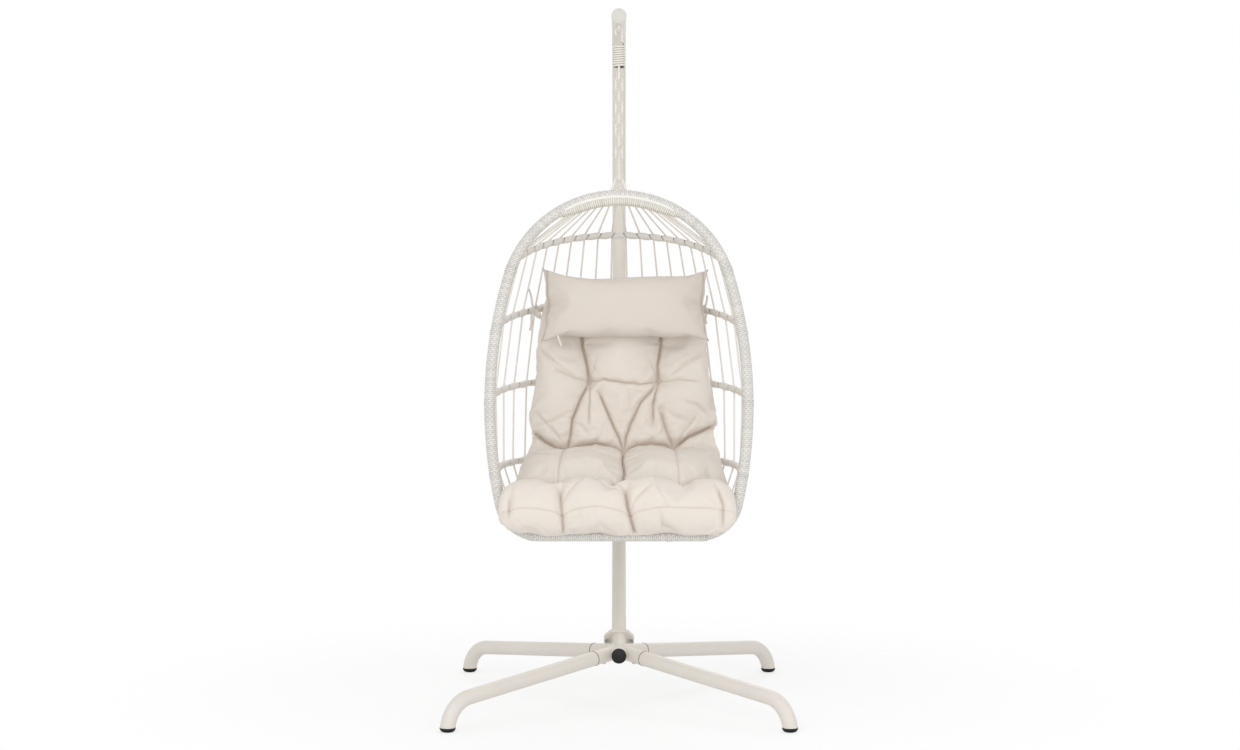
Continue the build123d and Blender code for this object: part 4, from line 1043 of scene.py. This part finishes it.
# %% Sharp folds and the seam
SEAM_STATION = 12.9          # the cover's panels meet along the front of the roll
SEAM_DEPTH = 0.0012
SEAM_WIDTH = 0.0022
FOLD_LINE = 0.0023           # half the width of the painted shade line in a fold
BUTTON_DEPTH = 0.008
BUTTON_WIDTH = 0.006
middle = read_rows(cushion_cover.data.attributes["middle_place"].data, "vector", np.float32)
fine_place = middle[:, :2].astype(float)
fine_front = np.clip(middle[:, 2] * 1.6, 0.0, 1.0)
seam_run = np.interp(SEAM_STATION, station_numbers, station_run)
sharp = np.zeros(len(fine_place))
fold = np.zeros(len(fine_place))
for depth, width, path in folds:
    away = distance_to_line(fine_place, path)
    first, last = (np.linalg.norm(fine_place - end, axis=1) for end in (path[0], path[-1]))
    taper = np.clip(np.minimum(first, last) / 0.03 + 0.35, 0.0, 1.0)
    sharp = np.maximum(sharp, 0.42 * depth * taper * bell(away, 0.38 * width))
    fold = np.maximum(fold, min(depth / 0.016, 1.0) * taper * bell(away, FOLD_LINE))
for tuft in cloth_line(TUFTS):
    away = np.linalg.norm(fine_place - tuft, axis=1)
    sharp = np.maximum(sharp, BUTTON_DEPTH * bell(away, BUTTON_WIDTH))
seam = SEAM_DEPTH * bell(fine_place[:, 1] - seam_run, SEAM_WIDTH)
press_in(cushion_cover, sharp * fine_front + seam * fine_front)
# painted shade: the fold value darkens the cloth along each fold and along the seam
keep_values(cushion_cover, fold=np.clip((fold + 0.35 * seam / SEAM_DEPTH) * fine_front, 0.0, 1.0))
dress(cushion_cover, cushion_cloth, replaces="cushion")

# %% [markdown]
# ## Pillow
# The pillow is two flat panels sewn together at their edges and stuffed. Sewn corners can't fill, so
# they stand out as ears, and the edges between them draw in. That shape comes from the same
# simulation: two panels share their edge, start a little apart and are blown up.

# %% The pillow's panels
PILLOW_COLUMNS = 72
PILLOW_ROWS = 34
PILLOW_LEAN = radians(10.0)
PILLOW_OFF_CENTRE = 0.018    # it has slipped a little to one side
PILLOW_SIDE = 0.233          # half its width at the middle of its sides
PILLOW_EAR = 0.013           # how much further out its corners stand
PILLOW_DIMPLE = 0.004        # how far the ties pull its sides in
PILLOW_HIGH = 0.089          # from its middle up to its upper edge
PILLOW_SAG = 0.023           # how much higher the upper corners stand than the edge between them
PILLOW_DEEP = 0.104
PILLOW_HALF_THICK = 0.048

pillow_low, pillow_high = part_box("pillow")
pillow_middle = np.array((0.5 * (pillow_low + pillow_high)) + Vector((PILLOW_OFF_CENTRE, 0.0, 0.0)))
pillow_up = np.array((0.0, sin(PILLOW_LEAN), cos(PILLOW_LEAN)))
pillow_face = np.array((0.0, -cos(PILLOW_LEAN), sin(PILLOW_LEAN)))

u, v = np.meshgrid(np.linspace(-1, 1, PILLOW_COLUMNS + 1), np.linspace(-1, 1, PILLOW_ROWS + 1))
pillow_x = u * (PILLOW_SIDE + PILLOW_EAR * np.abs(v) ** 3 - PILLOW_DIMPLE * bell(v, 0.2))
upper = PILLOW_HIGH + PILLOW_SAG * np.abs(u) ** 3 + 0.002 * np.sin(5 * u)
lower = PILLOW_DEEP + 0.004 * np.abs(u) ** 5 + 0.0015 * np.sin(13 * u + 1)
pillow_z = np.where(v > 0, v * upper, v * lower)
swell = ((1 - np.abs(u) ** 2.6) * (1 - np.abs(v) ** 2.2)) ** 0.55
inside = ((np.abs(u) < 1) & (np.abs(v) < 1)).ravel()

flat_points = pillow_middle + pillow_x[..., None] * np.array((1.0, 0, 0)) + pillow_z[..., None] * pillow_up
bulge = (PILLOW_HALF_THICK * swell)[..., None] * pillow_face
front_panel = (flat_points + bulge).reshape(-1, 3)
back_panel = (flat_points - 0.9 * bulge).reshape(-1, 3)
front_count = len(front_panel)
back_index = np.where(inside, np.cumsum(inside) - 1 + front_count, np.arange(front_count))
pillow_faces = []
for i in range(PILLOW_ROWS):
    for j in range(PILLOW_COLUMNS):
        a = i * (PILLOW_COLUMNS + 1) + j
        b = a + PILLOW_COLUMNS + 1
        pillow_faces.append((a, a + 1, b + 1, b))
        pillow_faces.append(tuple(int(back_index[k]) for k in (a, b, b + 1, a + 1)))
pillow_points = np.concatenate([front_panel, back_panel[inside]])
pillow_cover = mesh_object("pillow_cover", pillow_points, pillow_faces)
cloth_place = np.stack([pillow_x, pillow_z, 0 * u], axis=-1).reshape(-1, 3)
front_place = np.stack([u, v, 1.0 + 0 * u], axis=-1).reshape(-1, 3)
back_place = front_place * np.array((1.0, 1.0, -1.0))
keep_values(pillow_cover, cloth_place=np.concatenate([cloth_place, cloth_place[inside]]),
            panel_place=np.concatenate([front_place, back_place[inside]]))

# %% The pillow, stuffed
across, upward = np.abs(front_place[:, 0]), np.abs(front_place[:, 1])
pillow_held = np.zeros(len(pillow_points))
pillow_held[:front_count][(across > 0.96) & (upward > 0.92)] = 0.8       # the ears
pillow_held[:front_count][(across > 0.985) & (upward < 0.08)] = 1.0      # where the ties are sewn on
pillow_held[front_count:] = np.where(swell.ravel()[inside] > 0.75, 0.7, 0.0)
stuff(pillow_cover, pillow_held, 3.2, -0.03, 0.012)
refine(pillow_cover)

# %% The pillow's seam and finish
SEAM_RIDGE = 0.0012
SEAM_INSET = 0.004           # from the pillow's edge
STITCH_HALF = 0.0018
SIDE_SEAM_DEPTH = 0.0022
SIDE_SEAM_HALF = 0.0030
WRINKLES = [
    # depth, width, and the points that it runs through, as shares of half the panel
    (0.0040, 0.008, [(-0.99, 0.06), (-0.90, 0.22), (-0.78, 0.34)]),
    (0.0045, 0.007, [(-0.99, -0.02), (-0.88, 0.02), (-0.74, 0.01)]),
    (0.0035, 0.008, [(-0.99, -0.10), (-0.91, -0.28), (-0.84, -0.50)]),
    (0.0040, 0.008, [(0.99, 0.08), (0.93, 0.34), (0.90, 0.58)]),
    (0.0045, 0.007, [(0.99, 0.00), (0.89, 0.06), (0.78, 0.16)]),
    (0.0040, 0.008, [(0.99, -0.10), (0.92, -0.36), (0.88, -0.62)]),
    (0.0030, 0.010, [(0.97, 0.95), (0.88, 0.74)]),
    (0.0030, 0.010, [(-0.97, 0.95), (-0.90, 0.72)]),
]
panel = read_rows(pillow_cover.data.attributes["panel_place"].data, "vector", np.float32)
panel_size = np.array((PILLOW_SIDE, PILLOW_DEEP))
on_panel = panel[:, :2] * panel_size
on_front = panel[:, 2] > 0
wrinkle = np.zeros(len(panel))
for depth, width, line in WRINKLES:
    path = np.array(line) * panel_size
    away = distance_to_line(on_panel, path)
    gone = np.linalg.norm(on_panel - path[0], axis=1) / np.linalg.norm(path[-1] - path[0])
    wrinkle = np.maximum(wrinkle, depth * np.clip(1.2 - gone, 0, 1) * bell(away, width))
wrinkle *= on_front
from_side = (1 - np.abs(panel[:, 0])) * PILLOW_SIDE
near_edge = np.minimum(from_side, (1 - np.abs(panel[:, 1])) * PILLOW_DEEP)
stitch = bell(near_edge - SEAM_INSET, STITCH_HALF)
ear_inset = SEAM_INSET + 0.016 * np.clip(panel[:, 1], 0.0, 1.0) ** 1.4   # the ears lie outside the seam
side_seam = bell(from_side - ear_inset, SIDE_SEAM_HALF) * on_front
press_in(pillow_cover, SEAM_RIDGE * stitch + SIDE_SEAM_DEPTH * side_seam + wrinkle)
# painted shade: the fold value darkens the cloth along the stitch line, the side seams and the wrinkles
fold = np.maximum(0.35 * stitch, 0.9 * side_seam ** 1.5) + 25.0 * wrinkle * (wrinkle > 0.002)
keep_values(pillow_cover, fold=fold)
dress(pillow_cover, pillow_cloth, replaces="pillow")

# %% [markdown]
# ## Tie tapes
# Narrow tapes of the cushion's cloth hold the pillow to the second hoop, each tied in a bow, and
# smaller ones hold the cushion. A tape is a thin flat strip along a smooth line.


# %% A tape along a line
def tape(name, points, width, thickness=0.0012, facing=(0.0, -1.0, 0.0)):
    """A flat strip with rounded edges through a few points, its flat side towards facing."""
    places = np.linspace(0, len(points) - 1, 10 * (len(points) - 1) + 1)
    line = smooth_rows(np.array(points, float), places)
    way = np.gradient(line, axis=0)
    way /= np.linalg.norm(way, axis=1)[:, None]
    across = np.cross(way, np.array(facing, float))
    across /= np.maximum(np.linalg.norm(across, axis=1), 1e-6)[:, None]
    thick = np.cross(across, way)
    section = [(-0.5, 0.0), (-0.42, 0.5), (0.42, 0.5), (0.5, 0.0), (0.42, -0.5), (-0.42, -0.5)]
    rings = np.stack([line + across * (width * a) + thick * (thickness * b) for a, b in section], axis=1)
    made = closed_rings(name, rings)
    across_tape = np.array([width * a for a, _ in section])
    keep_values(made, cloth_place=np.stack(
        np.broadcast_arrays(across_tape, distance_along(line)[:, None], 0.0), axis=2
    ))
    dress(made, tie_cloth)


def near(place, side, *steps):
    """Points near a place, told by how far up, outward on that side and forward of it they are."""
    return [place + np.array((side * out, -forward, up)) for up, out, forward in steps]


def on_hoop(number, x):
    """The point on a hoop's line at a distance x from the middle of the basket."""
    hoop = hoops[number - 1]
    flat_line, _ = walk(hoop["runs"], 0.002)
    behind = flat_line[flat_line[:, 1] > hoop["runs"][0][0] * 0.5]
    at = behind[np.abs(behind[:, 0] - x).argmin()]
    return np.array(hoop["start"]) + np.array((1.0, 0, 0)) * at[0] + np.array(hoop["out"]) * at[1]


# %% Bows at the pillow
TAPE_WIDTH = 0.008
WRAP = 0.0125                # the wrap's radius round the hoop
KNOT_PLACE = 0.246           # from the basket's middle
STITCHED = (0.0, 0.0, 0.0)
for side, word, share in ((-1, "left", 1.0), (1, "right", 0.68)):
    hoop_point = on_hoop(2, side * KNOT_PLACE)
    root = pillow_middle + np.array((side * (PILLOW_SIDE - 0.006), 0.0, 0.0))
    knot = hoop_point + np.array((0.0, -WRAP - 0.002, 0.0))
    middle_point = 0.5 * (root + hoop_point) + np.array((0.0, 0.0, 0.004))
    wrap_turns = [(WRAP * sin(a), -0.003 * a, WRAP * cos(a)) for a in np.linspace(-0.3, 2 * pi + 0.3, 11)]
    tape(f"pillow_tie_{word}", [root, middle_point, *near(knot, side, (0.0, -0.012, 0.0)), knot],
         TAPE_WIDTH)
    tape(f"pillow_tie_{word}_wrap", near(hoop_point, side, *wrap_turns), TAPE_WIDTH,
         facing=(side, 0.0, 0.0))
    tape(f"pillow_tie_{word}_upper_end", near(
        knot, side, STITCHED, (0.016 * share, 0.006, 0.006), (0.040 * share, 0.010, 0.0),
        (0.062 * share, 0.017 * share, 0.0)), TAPE_WIDTH * 0.7)
    tape(f"pillow_tie_{word}_lower_end", near(
        knot, side, STITCHED, (-0.014 * share, 0.008, 0.006), (-0.038 * share, 0.009 * share, 0.004),
        (-0.060 * share, 0.013 * share, 0.002)), TAPE_WIDTH * 0.8)
    tape(f"pillow_tie_{word}_bow", near(
        knot, side, STITCHED, (-0.010, -0.012, 0.009), (-0.024, -0.020, 0.006), (-0.017, -0.006, 0.002),
        STITCHED), TAPE_WIDTH, facing=(0.4 * side, -0.7, 0.6))

# %% Small tapes of the cushion
SMALL_TAPE = 0.006
hanging_end = pillow_middle + np.array((-0.193, -0.052, -0.086))
tape("cushion_tie_end", near(hanging_end, 1, STITCHED, (-0.012, 0.004, 0.004), (-0.030, 0.011, 0.003)),
     SMALL_TAPE)
for side, word, height in ((-1, "left", 0.750), (1, "right", 0.776)):
    edge = [v.co for v in cushion_cover.data.vertices if abs(v.co.z - height) < 0.006]
    root = np.array(max(edge, key=lambda p: p.x * side)) - np.array((side * 0.011, 0.0, 0.0))
    tape(f"cushion_tie_{word}", near(
        root, side, STITCHED, (0.002, 0.010, 0.016), (-0.006, 0.006, 0.024), (-0.009, -0.006, 0.016)),
        SMALL_TAPE, facing=(0.0, -0.4, 0.9))
